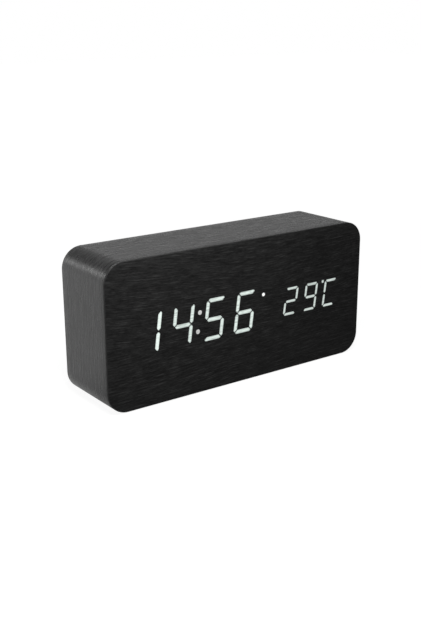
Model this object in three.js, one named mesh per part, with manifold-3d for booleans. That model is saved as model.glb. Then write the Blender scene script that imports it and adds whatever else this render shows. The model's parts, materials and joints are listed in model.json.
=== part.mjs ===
import * as THREE from "three";
import { mergeVertices } from "three/addons/utils/BufferGeometryUtils.js";
import Module from "manifold-3d";

// A block-shaped LED desk clock. A fibreboard case is wrapped in black wood-grain film, a
// seven-segment display shines through the front film, and a moulded rear cover carries three
// buttons, a power socket and a battery bay. It shows 14:56 and 29 degrees Celsius.
// Lengths are in millimetres. X runs right as seen from the front, Y from front to back, Z up.
// The origin is on the surface that the clock stands on, under the middle of the case.

// Outside of the case
const width = 150;
const bodyHeight = 69.2;
const depth = 38;
const cornerRadius = 10;

// Film skin, glued on
const filmThickness = 0.5;
const adhesive = 0.05;

// Fibreboard case
const caseWall = 6.5;
const frontWall = 6;
const cavityCornerRadius = 3;
const postSize = 9;
const postLength = 13;
const coverLedge = 2;
const coverCornerRadius = 4;

// Rubber feet
const footRadius = 4.5;
const footHeight = 0.8;
const footEdge = 3;

// Gaps between pieces
const seat = 0.05;
const fitClearance = 0.25;
const windowClearance = 0.1;
const shaftClearance = 0.1;
const overrun = 1;

// Display digits, as shares of the case's width: outside size, bar thickness and the gap between
// two bars
const timeDigitShares = { width: 0.074, height: 0.134, bar: 0.01235, gap: 0.003 };
const temperatureDigitShares = { width: 0.0543, height: 0.0927, bar: 0.00835, gap: 0.00267 };
const slant = THREE.MathUtils.degToRad(7.6);
const cornerTipShare = 0.3;
const timePitchShare = 0.11853;
const temperaturePitchShare = 0.08507;
const timeCentreShare = -0.174;
const temperatureCentreShare = 0.279;

// Display dots, as shares of the case's width
const colonDotShare = 0.0073;
const colonSpacingShare = 0.06;
const alarmDotShare = 0.0059;
const alarmOffsetShares = [0.0747, 0.0437];
const degreeDotShare = 0.005;
const degreeOffsetShares = [-0.0313, 0.043];
const dotFootMargin = 0.7;

// Light diffusers, which fill the display's front pockets and stand through the film
const webThickness = 1;
const webMargin = 0.35;
const colonWebWidth = 3.6;

// Display housing and board
const housingWall = 1.4;
const housingCornerRadius = 1.5;
const housingMargin = 2.6;
const boardThickness = 1.6;
const boardOverlap = 5;
const boardCornerRadius = 1;
const ledSize = 0.8;
const ledHeight = 0.6;
const pegRadius = 0.7;

// Rear cover
const coverThickness = 2.2;
const coverRecess = 1;

// Screws
const coverScrew = { headRadius: 2.3, headHeight: 1.2, shaftRadius: 1.2, length: 9, taper: 1.5 };
const boardScrew = { headRadius: 1.9, headHeight: 1.1, shaftRadius: 0.9, length: 5.4, taper: 1 };
const headDomeShare = 0.7;
const crossLengthShare = 1.2;
const crossWidthShare = 0.3;
const crossDepthShare = 0.55;

// Buttons and their switches
const capRadius = 3;
const capProud = 0.9;
const capChamfer = 0.3;
const flangeMargin = 0.9;
const flangeHeight = 1;
const buttonClearance = 0.2;
const buttonTravel = 0.5;
const switchSize = 6;
const switchHeight = 3.5;
const switchLegLength = 0.9;
const switchLegWidth = 0.8;
const switchLegThickness = 0.3;
const plungerRadius = 1.7;
const plungerProud = 1;
const plungerDepth = 1.2;

// Main board, with the places of its parts as shares of its width and height
const mainBoardHeight = 38;
const mainBoardMargin = 1;
const buttonShares = { set: [0.6, 0.6], up: [0.38, 0.6], down: [0.16, 0.6] };
const jackShare = [0.84, 0.6];
const buzzerShare = [0.24, 0.2];
const microphoneShare = [0.48, 0.24];
const thermistorShare = [0.73, 0.2];
const bossShares = [[0.07, 0.88], [0.93, 0.38]];
const chipShare = [0.3, 0.72];
const crystalShare = [0.62, 0.88];
const plugShare = [0.45, 0.2];
const wireShares = [0.86, 0.94];
const bossRadius = 2.4;

// Power socket
const jackSize = 8;
const jackLength = 9.5;
const jackProud = 3.6;
const jackBoreRadius = 1.9;
const jackBoreDepth = 8;
const jackPinRadius = 0.65;
const jackPinLength = 7;
const jackEar = 1.2;
const jackEarThickness = 1;
const jackHoleRadius = 4.2;

// Small parts on the main board
const buzzerRadius = 6;
const buzzerHeight = 4.6;
const buzzerHoleRadius = 1;
const buzzerRim = 0.5;
const microphoneRadius = 3;
const microphoneHeight = 2.7;
const microphoneRecess = 0.4;
const microphoneHoleRadius = 0.9;
const beadRadius = 1.3;
const beadStand = 3;
const leadRadius = 0.28;
const leadSpacing = 1.5;
const chip = { length: 13, width: 7.5, height: 2.2 };
const chipPin = { width: 0.5, reach: 1.2, thickness: 0.3 };
const chipPinCount = 8;
const crystalRadius = 1;
const crystalLength = 6;
const crystalRimShare = 0.85;

// Slots over the buzzer and the temperature sensor
const soundSlotWidth = 1.2;
const soundSlotPitch = 2.4;
const soundSlotCount = 5;
const ventSlotLength = 8;
const ventSlotCount = 4;

// Ribbon cable and its two connectors
const plugLength = 16;
const plugWidth = 4.4;
const plugHeight = 4;
const ribbonWidth = 13;
const ribbonThickness = 0.9;
const ribbonGap = 0.3;
const ribbonShift = 12;
const ribbonBendShare = 0.6;

// Cells and battery bay
const cellRadius = 5.25;
const cellLength = 44.5;
const cellNubRadius = 1.9;
const cellNubHeight = 1;
const cellCrimp = 0.5;
const cellGap = 0.8;
const cellFloorGap = 0.3;
const cellDoorGap = 0.5;
const bayWall = 1.5;
const bayRibHeight = 2.4;
const bayPostGap = 1;

// Battery contacts
const contactThickness = 0.4;
const contactWidth = 8;
const contactGap = 0.3;
const dimpleRadius = 1.6;
const dimpleHeight = 0.6;
const springLength = 3.4;
const springBaseRadius = 3.6;
const springTipRadius = 2.3;
const springTurnCount = 3;
const springWireRadius = 0.33;

// Battery leads
const leadWireRadius = 0.6;
const leadWireHoleRadius = 0.9;
const leadWireBend = 2.6;
const leadWireDrop = 2;
const leadExitRise = 2.2;

// Battery door
const doorThickness = 1.4;
const doorLedge = 1.5;
const doorCornerRadius = 1.5;
const doorClearance = 0.25;
const hookLength = 1.5;
const hookWidth = 6;
const hookThickness = 0.6;
const hookSpacing = 18;
const hookRoom = 0.3;
const hookSwingRoom = 0.7;
const latchWidth = 9;
const latchLength = 9;
const latchSlot = 0.9;
const gripWidth = 6;
const gripHeight = 0.3;
const gripPitch = 1.4;
const gripCount = 3;
const nailNotchRadius = 4;
const nailNotchDepth = 1.1;

// Facet counts
const caseArcSteps = 5;
const smallArcSteps = 2;
const roundSides = 18;
const smallSides = 10;
const beadSides = 8;
const wireSides = 6;

// Planes along Y, from the front to the back
const frontY = -depth / 2;
const backY = depth / 2;
const skin = filmThickness + adhesive;
const filmBackY = frontY + filmThickness;
const caseFrontY = frontY + skin;
const caseBackY = backY - skin;
const cavityFrontY = caseFrontY + frontWall;
const displayBoardFrontY = cavityFrontY + seat;
const displayBoardBackY = displayBoardFrontY + boardThickness;
const coverOuterY = backY - coverRecess;
const coverInnerY = coverOuterY - coverThickness;
const coverSeatY = coverInnerY - seat;
const capBottomY = coverInnerY - seat - flangeHeight;
const switchTopY = capBottomY - plungerProud;
const mainBoardBackY = switchTopY - switchHeight - seat;
const mainBoardFrontY = mainBoardBackY - boardThickness;
const doorInnerY = coverOuterY - doorThickness;
const cellY = doorInnerY - cellDoorGap - cellRadius;
const bayFloorY = cellY - cellRadius - cellFloorGap;
const bayBottomY = bayFloorY - bayWall;
const leadExitY = bayFloorY + leadExitRise;

// Case cavity
const cavityWidth = width - 2 * caseWall;
const cavityHeight = bodyHeight - 2 * caseWall;
const rebateWidth = cavityWidth + 2 * coverLedge;
const rebateHeight = cavityHeight + 2 * coverLedge;
const postX = (cavityWidth - postSize) / 2;
const postZ = (cavityHeight - postSize) / 2;

// Display layout
const ofWidth = (share) => share * width;
const digitSize = (shares) =>
  Object.fromEntries(Object.entries(shares).map(([key, share]) => [key, ofWidth(share)]));
const timeDigit = digitSize(timeDigitShares);
const temperatureDigit = digitSize(temperatureDigitShares);
const timePitch = ofWidth(timePitchShare);
const temperaturePitch = ofWidth(temperaturePitchShare);
const timeCentreX = ofWidth(timeCentreShare);
const temperatureCentreX = ofWidth(temperatureCentreShare);
const colonDotRadius = ofWidth(colonDotShare);
const colonDotSpacing = ofWidth(colonSpacingShare);
const alarmDotRadius = ofWidth(alarmDotShare);
const alarmDotOffset = alarmOffsetShares.map(ofWidth);
const degreeDotRadius = ofWidth(degreeDotShare);
const degreeDotOffset = degreeOffsetShares.map(ofWidth);
const timeDigitX = [-1.5, -0.5, 0.5, 1.5].map((step) => timeCentreX + step * timePitch);
const temperatureDigitX = [-1, 0, 1].map((step) => temperatureCentreX + step * temperaturePitch);
const shear = Math.tan(slant);
const displayLeft = timeDigitX[0] - timeDigit.width / 2 - (timeDigit.height / 2) * shear;
const displayRight =
  temperatureDigitX[2] + temperatureDigit.width / 2 + (temperatureDigit.height / 2) * shear;
const housingWidth = 2 * (Math.max(-displayLeft, displayRight) + webMargin + housingWall);
const housingHeight = timeDigit.height + 2 * (webMargin + housingMargin);
const displayBoardHeight = housingHeight + 2 * boardOverlap;
const pegX = housingWidth / 2 - housingWall;
const pegZ = housingHeight / 2 - housingWall;
const displayScrewX = housingWidth / 3;
const displayScrewZ = (housingHeight + boardOverlap) / 2 + fitClearance;

// Battery bay, beside the posts on the right
const contactRoom = contactThickness + seat;
const bayLength =
  2 * (contactRoom + contactGap) + springLength + cellLength + dimpleHeight;
const cellPitch = 2 * cellRadius + cellGap;
const bayHeight = 3 * cellPitch;
const bayRight = cavityWidth / 2 - postSize - bayPostGap - bayWall;
const bayLeft = bayRight - bayLength;
const bayX = (bayLeft + bayRight) / 2;
const cellZ = [cellPitch, 0, -cellPitch];
const springEnd = contactRoom + springLength + contactGap;
const doorWidth = bayLength + 2 * doorLedge - 2 * doorClearance;
const doorHeight = bayHeight + 2 * doorLedge - 2 * doorClearance;
const recessRight = bayRight + doorLedge;
const recessLeft = bayLeft - doorLedge;

// Main board, between the left posts and the battery bay
const mainBoardLeft = -(cavityWidth / 2 - postSize - mainBoardMargin);
const mainBoardRight = bayLeft - bayWall - mainBoardMargin;
const mainBoardWidth = mainBoardRight - mainBoardLeft;
const onBoard = ([across, up]) => [
  mainBoardLeft + across * mainBoardWidth,
  (up - 0.5) * mainBoardHeight,
];

// Finishes
const blackFilm = { color: 0x222222, roughness: 0.5, metalness: 0 };
const fibreboard = { color: 0x8a6b48, roughness: 0.9, metalness: 0 };
const blackPlastic = { color: 0x161616, roughness: 0.6, metalness: 0 };
const rubber = { color: 0x101010, roughness: 0.9, metalness: 0 };
const litDiffuser = { color: 0xe6f2ee, emissive: 0xe6f2ee, roughness: 0.4, metalness: 0 };
const circuitBoard = { color: 0x1f5a34, roughness: 0.5, metalness: 0 };
const steel = { color: 0xb9bcc0, roughness: 0.35, metalness: 1 };
const cream = { color: 0xe8e2d0, roughness: 0.6, metalness: 0 };
const ribbonGrey = { color: 0x9a9ca0, roughness: 0.6, metalness: 0 };
const chipBlack = { color: 0x1b1b1d, roughness: 0.5, metalness: 0 };
const beadBrown = { color: 0x3a2a1c, roughness: 0.4, metalness: 0 };
const redWire = { color: 0xa81e1e, roughness: 0.5, metalness: 0 };
const cellWrap = { color: 0x2f4a6a, roughness: 0.4, metalness: 0.3 };

const wasm = await Module();
wasm.setup();

// A closed geometry as a solid that can be joined and cut.
function solid(geometry) {
  const bare = new THREE.BufferGeometry();
  const source = geometry.index ? geometry.toNonIndexed() : geometry;
  bare.setAttribute("position", source.getAttribute("position"));
  const merged = mergeVertices(bare);
  return new wasm.Manifold(
    new wasm.Mesh({
      numProp: 3,
      vertProperties: merged.attributes.position.array,
      triVerts: new Uint32Array(merged.index.array),
    }),
  );
}

// The solid's faces as a geometry with flat shading.
function faces(made) {
  const mesh = made.getMesh();
  const indexed = new THREE.BufferGeometry();
  indexed.setAttribute("position", new THREE.BufferAttribute(mesh.vertProperties, 3));
  indexed.setIndex(new THREE.BufferAttribute(mesh.triVerts, 1));
  const geometry = indexed.toNonIndexed();
  geometry.computeVertexNormals();
  return geometry;
}

const join = (solids) => solids.reduce((whole, piece) => whole.add(piece));
const cut = (whole, solids) => solids.reduce((left, piece) => left.subtract(piece), whole);

// A prism whose outline lies in the X-Z plane, from one Y to another.
function slab(shapes, fromY, toY, arcSteps = smallArcSteps) {
  const settings = { depth: toY - fromY, bevelEnabled: false, curveSegments: arcSteps };
  const geometry = new THREE.ExtrudeGeometry(shapes, settings);
  geometry.rotateX(Math.PI / 2);
  geometry.translate(0, toY, 0);
  return solid(geometry);
}

// A box between two corners.
function block([x0, y0, z0], [x1, y1, z1]) {
  const geometry = new THREE.BoxGeometry(x1 - x0, y1 - y0, z1 - z0);
  geometry.translate((x0 + x1) / 2, (y0 + y1) / 2, (z0 + z1) / 2);
  return solid(geometry);
}

// A round bar along Y.
function rod(radius, fromY, toY, x = 0, z = 0, sides = smallSides) {
  const geometry = new THREE.CylinderGeometry(radius, radius, toY - fromY, sides);
  geometry.translate(x, (fromY + toY) / 2, z);
  return solid(geometry);
}

// A round bar along X.
function crossRod(radius, fromX, toX, y, z, sides = smallSides) {
  const geometry = new THREE.CylinderGeometry(radius, radius, toX - fromX, sides);
  geometry.rotateZ(Math.PI / 2);
  geometry.translate((fromX + toX) / 2, y, z);
  return solid(geometry);
}

// A turned piece about Y, from its radius and height pairs.
function turned(profile, sides = smallSides) {
  const points = profile.map(([radius, y]) => new THREE.Vector2(radius, y));
  return solid(new THREE.LatheGeometry(points, sides));
}

// A rectangle with rounded corners about a centre.
function roundedRectangle(across, high, radius, x = 0, z = 0) {
  const shape = new THREE.Shape();
  const dx = across / 2 - radius;
  const dz = high / 2 - radius;
  const quarter = Math.PI / 2;
  shape.absarc(x + dx, z + dz, radius, 0, quarter);
  shape.absarc(x - dx, z + dz, radius, quarter, 2 * quarter);
  shape.absarc(x - dx, z - dz, radius, 2 * quarter, 3 * quarter);
  shape.absarc(x + dx, z - dz, radius, 3 * quarter, 4 * quarter);
  shape.closePath();
  return shape;
}

const group = new THREE.Group();

// Everything but the feet is placed from the middle of the front face's height.
const clock = new THREE.Group();
clock.position.z = footHeight + bodyHeight / 2;
group.add(clock);

// Adds one piece to the clock.
function piece(name, made, finish, x = 0, y = 0, z = 0) {
  const mesh = new THREE.Mesh(faces(made), new THREE.MeshStandardMaterial(finish));
  mesh.name = name;
  mesh.position.set(x, y, z);
  clock.add(mesh);
  return mesh;
}

// The seven bars of a digit. The ends of a bar's centre line are in shares of the digit's half
// width and half height, "out" is the way to the outside, and "corner" says which ends turn one.
const barShares = {
  a: { ends: [[-1, 1], [1, 1]], out: [0, 1], corner: [true, true] },
  b: { ends: [[1, 1], [1, 0]], out: [1, 0], corner: [true, false] },
  c: { ends: [[1, 0], [1, -1]], out: [1, 0], corner: [false, true] },
  d: { ends: [[1, -1], [-1, -1]], out: [0, -1], corner: [true, true] },
  e: { ends: [[-1, -1], [-1, 0]], out: [-1, 0], corner: [true, false] },
  f: { ends: [[-1, 0], [-1, 1]], out: [-1, 0], corner: [false, true] },
  g: { ends: [[-1, 0], [1, 0]], out: [0, 1], corner: [false, false] },
};
const allBars = Object.keys(barShares).join("");
const litBars = { 1: "bc", 2: "abdeg", 4: "bcfg", 5: "acdfg", 6: "acdefg", 9: "abcdfg", C: "adef" };

// One slanted bar with mitred ends. A corner end keeps a blunt tip on its outer side.
function barOutline(digit, name, grow) {
  const bar = barShares[name];
  const half = digit.bar / 2 + grow;
  const endGap = (digit.gap / 2 - grow) * Math.SQRT2;
  const [start, finish] = bar.ends.map(
    ([x, z]) =>
      new THREE.Vector2((x * (digit.width - digit.bar)) / 2, (z * (digit.height - digit.bar)) / 2),
  );
  const out = new THREE.Vector2(...bar.out);
  const along = finish.clone().sub(start).normalize();
  const endPoints = (end, way, isCorner) => {
    const tip = isCorner ? cornerTipShare * half : 0;
    return [
      [-half - endGap, -half],
      [tip - endGap, tip],
      [2 * tip - half - endGap, half],
    ].map(([u, v]) => end.clone().addScaledVector(along, way * u).addScaledVector(out, v));
  };
  const points = [
    ...endPoints(finish, 1, bar.corner[1]),
    ...endPoints(start, -1, bar.corner[0]).reverse(),
  ];
  return points.map((p) => new THREE.Vector2(p.x + p.y * shear, p.y));
}

const barShapes = (digit, names, grow = 0) =>
  [...names].map((name) => new THREE.Shape(barOutline(digit, name, grow)));

// A rectangle that leans with the digits.
function leaningRectangle(across, high) {
  const corners = [[-1, -1], [1, -1], [1, 1], [-1, 1]];
  return new THREE.Shape(
    corners.map(([x, z]) => new THREE.Vector2((x * across + z * high * shear) / 2, (z * high) / 2)),
  );
}

function dotShape(radius, x = 0, z = 0) {
  const points = Array.from({ length: smallSides }, (_, i) => {
    const angle = (2 * Math.PI * i) / smallSides;
    return new THREE.Vector2(x + radius * Math.cos(angle), z + radius * Math.sin(angle));
  });
  return new THREE.Shape(points);
}

// Each lit unit of the display: its place, its foot in the housing's front pocket, the bars or dots
// that stand through the film, and the light wells behind it.
function digitUnit(name, digit, character, x) {
  return {
    name,
    x,
    foot: (grow) =>
      leaningRectangle(
        digit.width + 2 * (webMargin + grow),
        digit.height + 2 * (webMargin + grow),
      ),
    lit: (grow) => barShapes(digit, litBars[character], grow),
    wells: barShapes(digit, allBars),
    leds: [...allBars].map((bar) => {
      const [[x0, z0], [x1, z1]] = barShares[bar].ends;
      const ledZ = ((z0 + z1) * (digit.height - digit.bar)) / 4;
      return [((x0 + x1) * (digit.width - digit.bar)) / 4 + ledZ * shear, ledZ];
    }),
  };
}

function dotUnit(name, radius, x, places, foot) {
  return {
    name,
    x,
    foot,
    lit: (grow) => places.map(([dx, dz]) => dotShape(radius + grow, dx, dz)),
    wells: places.map(([dx, dz]) => dotShape(radius, dx, dz)),
    leds: places,
  };
}

const colonStep = colonDotSpacing / 2;
const [alarmDx, alarmDz] = alarmDotOffset;
const [degreeDx, degreeDz] = degreeDotOffset;
const displayUnits = [
  digitUnit("hour_tens_light", timeDigit, "1", timeDigitX[0]),
  digitUnit("hour_units_light", timeDigit, "4", timeDigitX[1]),
  dotUnit(
    "colon_light",
    colonDotRadius,
    timeCentreX,
    [[colonStep * shear, colonStep], [-colonStep * shear, -colonStep]],
    (grow) =>
      leaningRectangle(
        colonWebWidth + 2 * grow,
        colonDotSpacing + 2 * (colonDotRadius + dotFootMargin + grow),
      ),
  ),
  digitUnit("minute_tens_light", timeDigit, "5", timeDigitX[2]),
  digitUnit("minute_units_light", timeDigit, "6", timeDigitX[3]),
  dotUnit("alarm_dot_light", alarmDotRadius, timeDigitX[3], [alarmDotOffset], (grow) =>
    dotShape(alarmDotRadius + dotFootMargin + grow, alarmDx, alarmDz),
  ),
  digitUnit("temperature_tens_light", temperatureDigit, "2", temperatureDigitX[0]),
  digitUnit("temperature_units_light", temperatureDigit, "9", temperatureDigitX[1]),
  dotUnit("degree_dot_light", degreeDotRadius, temperatureDigitX[2], [degreeDotOffset], (grow) =>
    dotShape(degreeDotRadius + grow, degreeDx, degreeDz),
  ),
  digitUnit("celsius_light", temperatureDigit, "C", temperatureDigitX[2]),
];

// Case: hollow from the back, with a display window, corner posts and a seat for the cover
const caseOutline = (inset) =>
  roundedRectangle(width - 2 * inset, bodyHeight - 2 * inset, cornerRadius - inset);
const rebateOutline = (inset) =>
  roundedRectangle(rebateWidth - 2 * inset, rebateHeight - 2 * inset, coverCornerRadius - inset);
const housingOutline = (grow) =>
  roundedRectangle(
    housingWidth + 2 * grow,
    housingHeight + 2 * grow,
    housingCornerRadius + grow,
  );
const fourCorners = [[-1, 1], [1, 1], [-1, -1], [1, -1]];

function caseBody() {
  const cavity = roundedRectangle(cavityWidth, cavityHeight, cavityCornerRadius);
  const hollow = cut(
    slab(caseOutline(skin), caseFrontY, caseBackY, caseArcSteps),
    [
      slab(cavity, cavityFrontY, coverSeatY + overrun),
      slab(rebateOutline(0), coverSeatY, caseBackY + overrun),
      slab(housingOutline(fitClearance), caseFrontY - overrun, cavityFrontY + overrun),
    ],
  );
  const posts = fourCorners.map(([x, z]) =>
    block(
      [x * postX - postSize / 2, coverSeatY - postLength, z * postZ - postSize / 2],
      [x * postX + postSize / 2 + (x * overrun) / 2, coverSeatY, z * postZ + postSize / 2],
    ),
  );
  const coverPilot = coverScrew.shaftRadius + shaftClearance;
  const boardPilot = boardScrew.shaftRadius + shaftClearance;
  const pilots = [
    ...fourCorners.map(([x, z]) =>
      rod(coverPilot, coverSeatY - coverScrew.length, coverSeatY + overrun, x * postX, z * postZ),
    ),
    ...fourCorners.map(([x, z]) =>
      rod(
        boardPilot,
        cavityFrontY - boardScrew.length + boardThickness - overrun / 2,
        cavityFrontY + overrun,
        x * displayScrewX,
        z * displayScrewZ,
      ),
    ),
  ];
  return cut(join([hollow, ...posts]), pilots);
}

// Front film, open where the display's bars and dots stand through
function frontFilm() {
  const outline = caseOutline(0);
  for (const unit of displayUnits) {
    for (const shape of unit.lit(windowClearance)) {
      const points = shape.getPoints().map((p) => new THREE.Vector2(p.x + unit.x, p.y));
      outline.holes.push(new THREE.Path(points));
    }
  }
  return slab(outline, frontY, filmBackY, caseArcSteps);
}

function perimeterFilm() {
  return cut(slab(caseOutline(0), caseFrontY, caseBackY, caseArcSteps), [
    slab(caseOutline(filmThickness), caseFrontY - overrun, caseBackY + overrun, caseArcSteps),
  ]);
}

function rearFilm() {
  const outline = caseOutline(0);
  outline.holes.push(rebateOutline(0));
  return slab(outline, backY - filmThickness, backY, caseArcSteps);
}

piece("case_body", caseBody(), fibreboard);
piece("front_film", frontFilm(), blackFilm);
piece("perimeter_film", perimeterFilm(), blackFilm);
piece("rear_film", rearFilm(), blackFilm);

// Feet, a pad under each corner of the flat underside
const footX = width / 2 - cornerRadius - footRadius;
const footY = depth / 2 - footRadius - footEdge;
const footNames = ["front_left_foot", "front_right_foot", "rear_left_foot", "rear_right_foot"];
[[-1, -1], [1, -1], [-1, 1], [1, 1]].forEach(([x, y], i) => {
  const pad = new THREE.CylinderGeometry(footRadius, footRadius, footHeight - adhesive, roundSides);
  pad.rotateX(Math.PI / 2);
  const z = -(bodyHeight + footHeight + adhesive) / 2;
  piece(footNames[i], solid(pad), rubber, x * footX, y * footY, z);
});

// Display: housing with a light well behind every bar and dot, diffusers and board
function displayHousing() {
  const pocketFloorY = caseFrontY + webThickness + seat;
  const body = slab(housingOutline(0), caseFrontY, cavityFrontY);
  const pockets = displayUnits.map((unit) =>
    slab(unit.foot(windowClearance), caseFrontY - overrun, pocketFloorY).translate([unit.x, 0, 0]),
  );
  const wells = displayUnits.map((unit) =>
    slab(unit.wells, caseFrontY, cavityFrontY + overrun).translate([unit.x, 0, 0]),
  );
  const pegs = [-1, 1].map((side) =>
    rod(pegRadius, cavityFrontY - overrun, displayBoardBackY, side * pegX, side * pegZ),
  );
  return join([cut(body, [...pockets, ...wells]), ...pegs]);
}

function diffuser(unit) {
  const foot = slab(unit.foot(0), caseFrontY, caseFrontY + webThickness);
  return join([foot, slab(unit.lit(0), frontY, caseFrontY + webThickness)]);
}

function displayBoard() {
  const outline = roundedRectangle(housingWidth, displayBoardHeight, boardCornerRadius);
  for (const [x, z] of fourCorners) {
    const hole = boardScrew.shaftRadius + shaftClearance;
    outline.holes.push(dotShape(hole, x * displayScrewX, z * displayScrewZ));
  }
  for (const side of [-1, 1]) {
    outline.holes.push(dotShape(pegRadius + shaftClearance, side * pegX, side * pegZ));
  }
  const half = ledSize / 2;
  const leds = displayUnits.flatMap((unit) =>
    unit.leds.map(([x, z]) =>
      block(
        [unit.x + x - half, displayBoardFrontY - ledHeight, z - half],
        [unit.x + x + half, displayBoardFrontY + overrun / 2, z + half],
      ),
    ),
  );
  return join([slab(outline, displayBoardFrontY, displayBoardBackY), ...leds]);
}

piece("display_housing", displayHousing(), blackPlastic);
for (const unit of displayUnits) {
  piece(unit.name, diffuser(unit), litDiffuser, unit.x);
}
piece("display_board", displayBoard(), circuitBoard);

// A self-tapping screw along Y. Its head's underside is at zero.
function plainScrew({ headRadius, headHeight, shaftRadius, length, taper }, sides) {
  const profile = [
    [0, -length],
    [shaftRadius, taper - length],
    [shaftRadius, 0],
    [headRadius, 0],
    [headRadius, headHeight / 2],
    [headRadius * headDomeShare, headHeight],
    [0, headHeight],
  ];
  return turned(profile, sides);
}

// The same screw with a cross recess in its head
function crossScrew(sizes, sides) {
  const { headRadius, headHeight } = sizes;
  const arm = (headRadius * crossLengthShare) / 2;
  const half = (headRadius * crossWidthShare) / 2;
  const floor = headHeight * (1 - crossDepthShare);
  return cut(plainScrew(sizes, sides), [
    block([-arm, floor, -half], [arm, headHeight + overrun, half]),
    block([-half, floor, -arm], [half, headHeight + overrun, arm]),
  ]);
}

fourCorners.forEach(([x, z], i) => {
  const y = displayBoardBackY + seat;
  const made = plainScrew(boardScrew, beadSides);
  piece(`display_screw_${i + 1}`, made, steel, x * displayScrewX, y, z * displayScrewZ);
});

// Rear cover: plate, battery bay, board bosses, and the holes for buttons, plug, sound and air
const coverScrewSeatY = coverOuterY - coverScrew.headHeight;
const [jackX, jackZ] = onBoard(jackShare);
const [buzzerX, buzzerZ] = onBoard(buzzerShare);
const [microphoneX, microphoneZ] = onBoard(microphoneShare);
const [thermistorX, thermistorZ] = onBoard(thermistorShare);

function soundSlots() {
  return Array.from({ length: soundSlotCount }, (_, i) => {
    const dx = (i - (soundSlotCount - 1) / 2) * soundSlotPitch;
    const length = 2 * Math.sqrt(buzzerRadius ** 2 - dx ** 2);
    return roundedRectangle(soundSlotWidth, length, soundSlotWidth / 2, buzzerX + dx, buzzerZ);
  });
}

function ventSlots() {
  return Array.from({ length: ventSlotCount }, (_, i) => {
    const dz = (i - (ventSlotCount - 1) / 2) * soundSlotPitch;
    const end = soundSlotWidth / 2;
    return roundedRectangle(ventSlotLength, soundSlotWidth, end, thermistorX, thermistorZ + dz);
  });
}

// Undercuts for the door's hooks, with room below for them to swing
function hookPockets() {
  const halfWidth = hookWidth / 2 + doorClearance;
  const lipY = coverOuterY - doorThickness + hookThickness + doorClearance / 2;
  return [-1, 1].flatMap((side) => {
    const z = (side * hookSpacing) / 2;
    return [
      block(
        [bayRight - overrun, coverInnerY - hookSwingRoom, z - halfWidth],
        [recessRight + hookLength + hookRoom, lipY, z + halfWidth],
      ),
    ];
  });
}

function rearCover() {
  const doorRecess = roundedRectangle(
    bayLength + 2 * doorLedge,
    bayHeight + 2 * doorLedge,
    doorCornerRadius,
    bayX,
    0,
  );
  const plate = slab(rebateOutline(fitClearance), coverInnerY, coverOuterY);
  const bay = block(
    [bayLeft - bayWall, bayBottomY, -bayHeight / 2 - bayWall],
    [bayRight + bayWall, coverInnerY + overrun, bayHeight / 2 + bayWall],
  );
  const bosses = bossShares.map((share) =>
    rod(bossRadius, mainBoardBackY + seat, coverInnerY + overrun, ...onBoard(share)),
  );
  const ribs = [-1, 1].map((side) => {
    const z = (side * cellPitch) / 2;
    return block(
      [bayLeft + springEnd, bayFloorY - bayWall / 2, z - cellGap / 2],
      [bayRight - springEnd, bayFloorY + bayRibHeight, z + cellGap / 2],
    );
  });
  const inside = block(
    [bayLeft, bayFloorY, -bayHeight / 2],
    [bayRight, coverOuterY + overrun, bayHeight / 2],
  );
  const shell = cut(join([plate, bay, ...bosses]), [inside]);
  const screwHoles = fourCorners.flatMap(([x, z]) => [
    rod(
      coverScrew.shaftRadius + fitClearance,
      coverInnerY - overrun,
      coverOuterY + overrun,
      x * postX,
      z * postZ,
    ),
    rod(
      coverScrew.headRadius + fitClearance,
      coverScrewSeatY - seat,
      coverOuterY + overrun,
      x * postX,
      z * postZ,
    ),
  ]);
  const pilots = bossShares.map((share) =>
    rod(
      boardScrew.shaftRadius + shaftClearance,
      mainBoardBackY - overrun,
      coverInnerY,
      ...onBoard(share),
    ),
  );
  const buttonHoles = Object.values(buttonShares).map((share) =>
    rod(
      capRadius + buttonClearance,
      coverInnerY - overrun,
      coverOuterY + overrun,
      ...onBoard(share),
      roundSides,
    ),
  );
  const leadHoles = [
    crossRod(leadWireHoleRadius, bayLeft - 2 * bayWall, bayLeft + bayWall, leadExitY, cellZ[2]),
    crossRod(leadWireHoleRadius, bayRight - bayWall, bayRight + 2 * bayWall, leadExitY, cellZ[0]),
  ];
  const through = slab(
    [...soundSlots(), ...ventSlots(), dotShape(microphoneHoleRadius, microphoneX, microphoneZ)],
    coverInnerY - overrun,
    coverOuterY + overrun,
  );
  const nailNotch = rod(
    nailNotchRadius,
    coverOuterY - nailNotchDepth,
    coverOuterY + overrun,
    recessLeft,
    0,
    roundSides,
  );
  const openings = [
    slab(doorRecess, doorInnerY - seat, coverOuterY + overrun),
    rod(jackHoleRadius, coverInnerY - overrun, coverOuterY + overrun, jackX, jackZ, roundSides),
    nailNotch,
    through,
    ...hookPockets(),
    ...screwHoles,
    ...pilots,
    ...buttonHoles,
    ...leadHoles,
  ];
  return cut(join([shell, ...ribs]), openings);
}

piece("rear_cover", rearCover(), blackPlastic);
fourCorners.forEach(([x, z], i) => {
  const made = crossScrew(coverScrew, smallSides);
  piece(`cover_screw_${i + 1}`, made, steel, x * postX, coverScrewSeatY, z * postZ);
});

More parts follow.
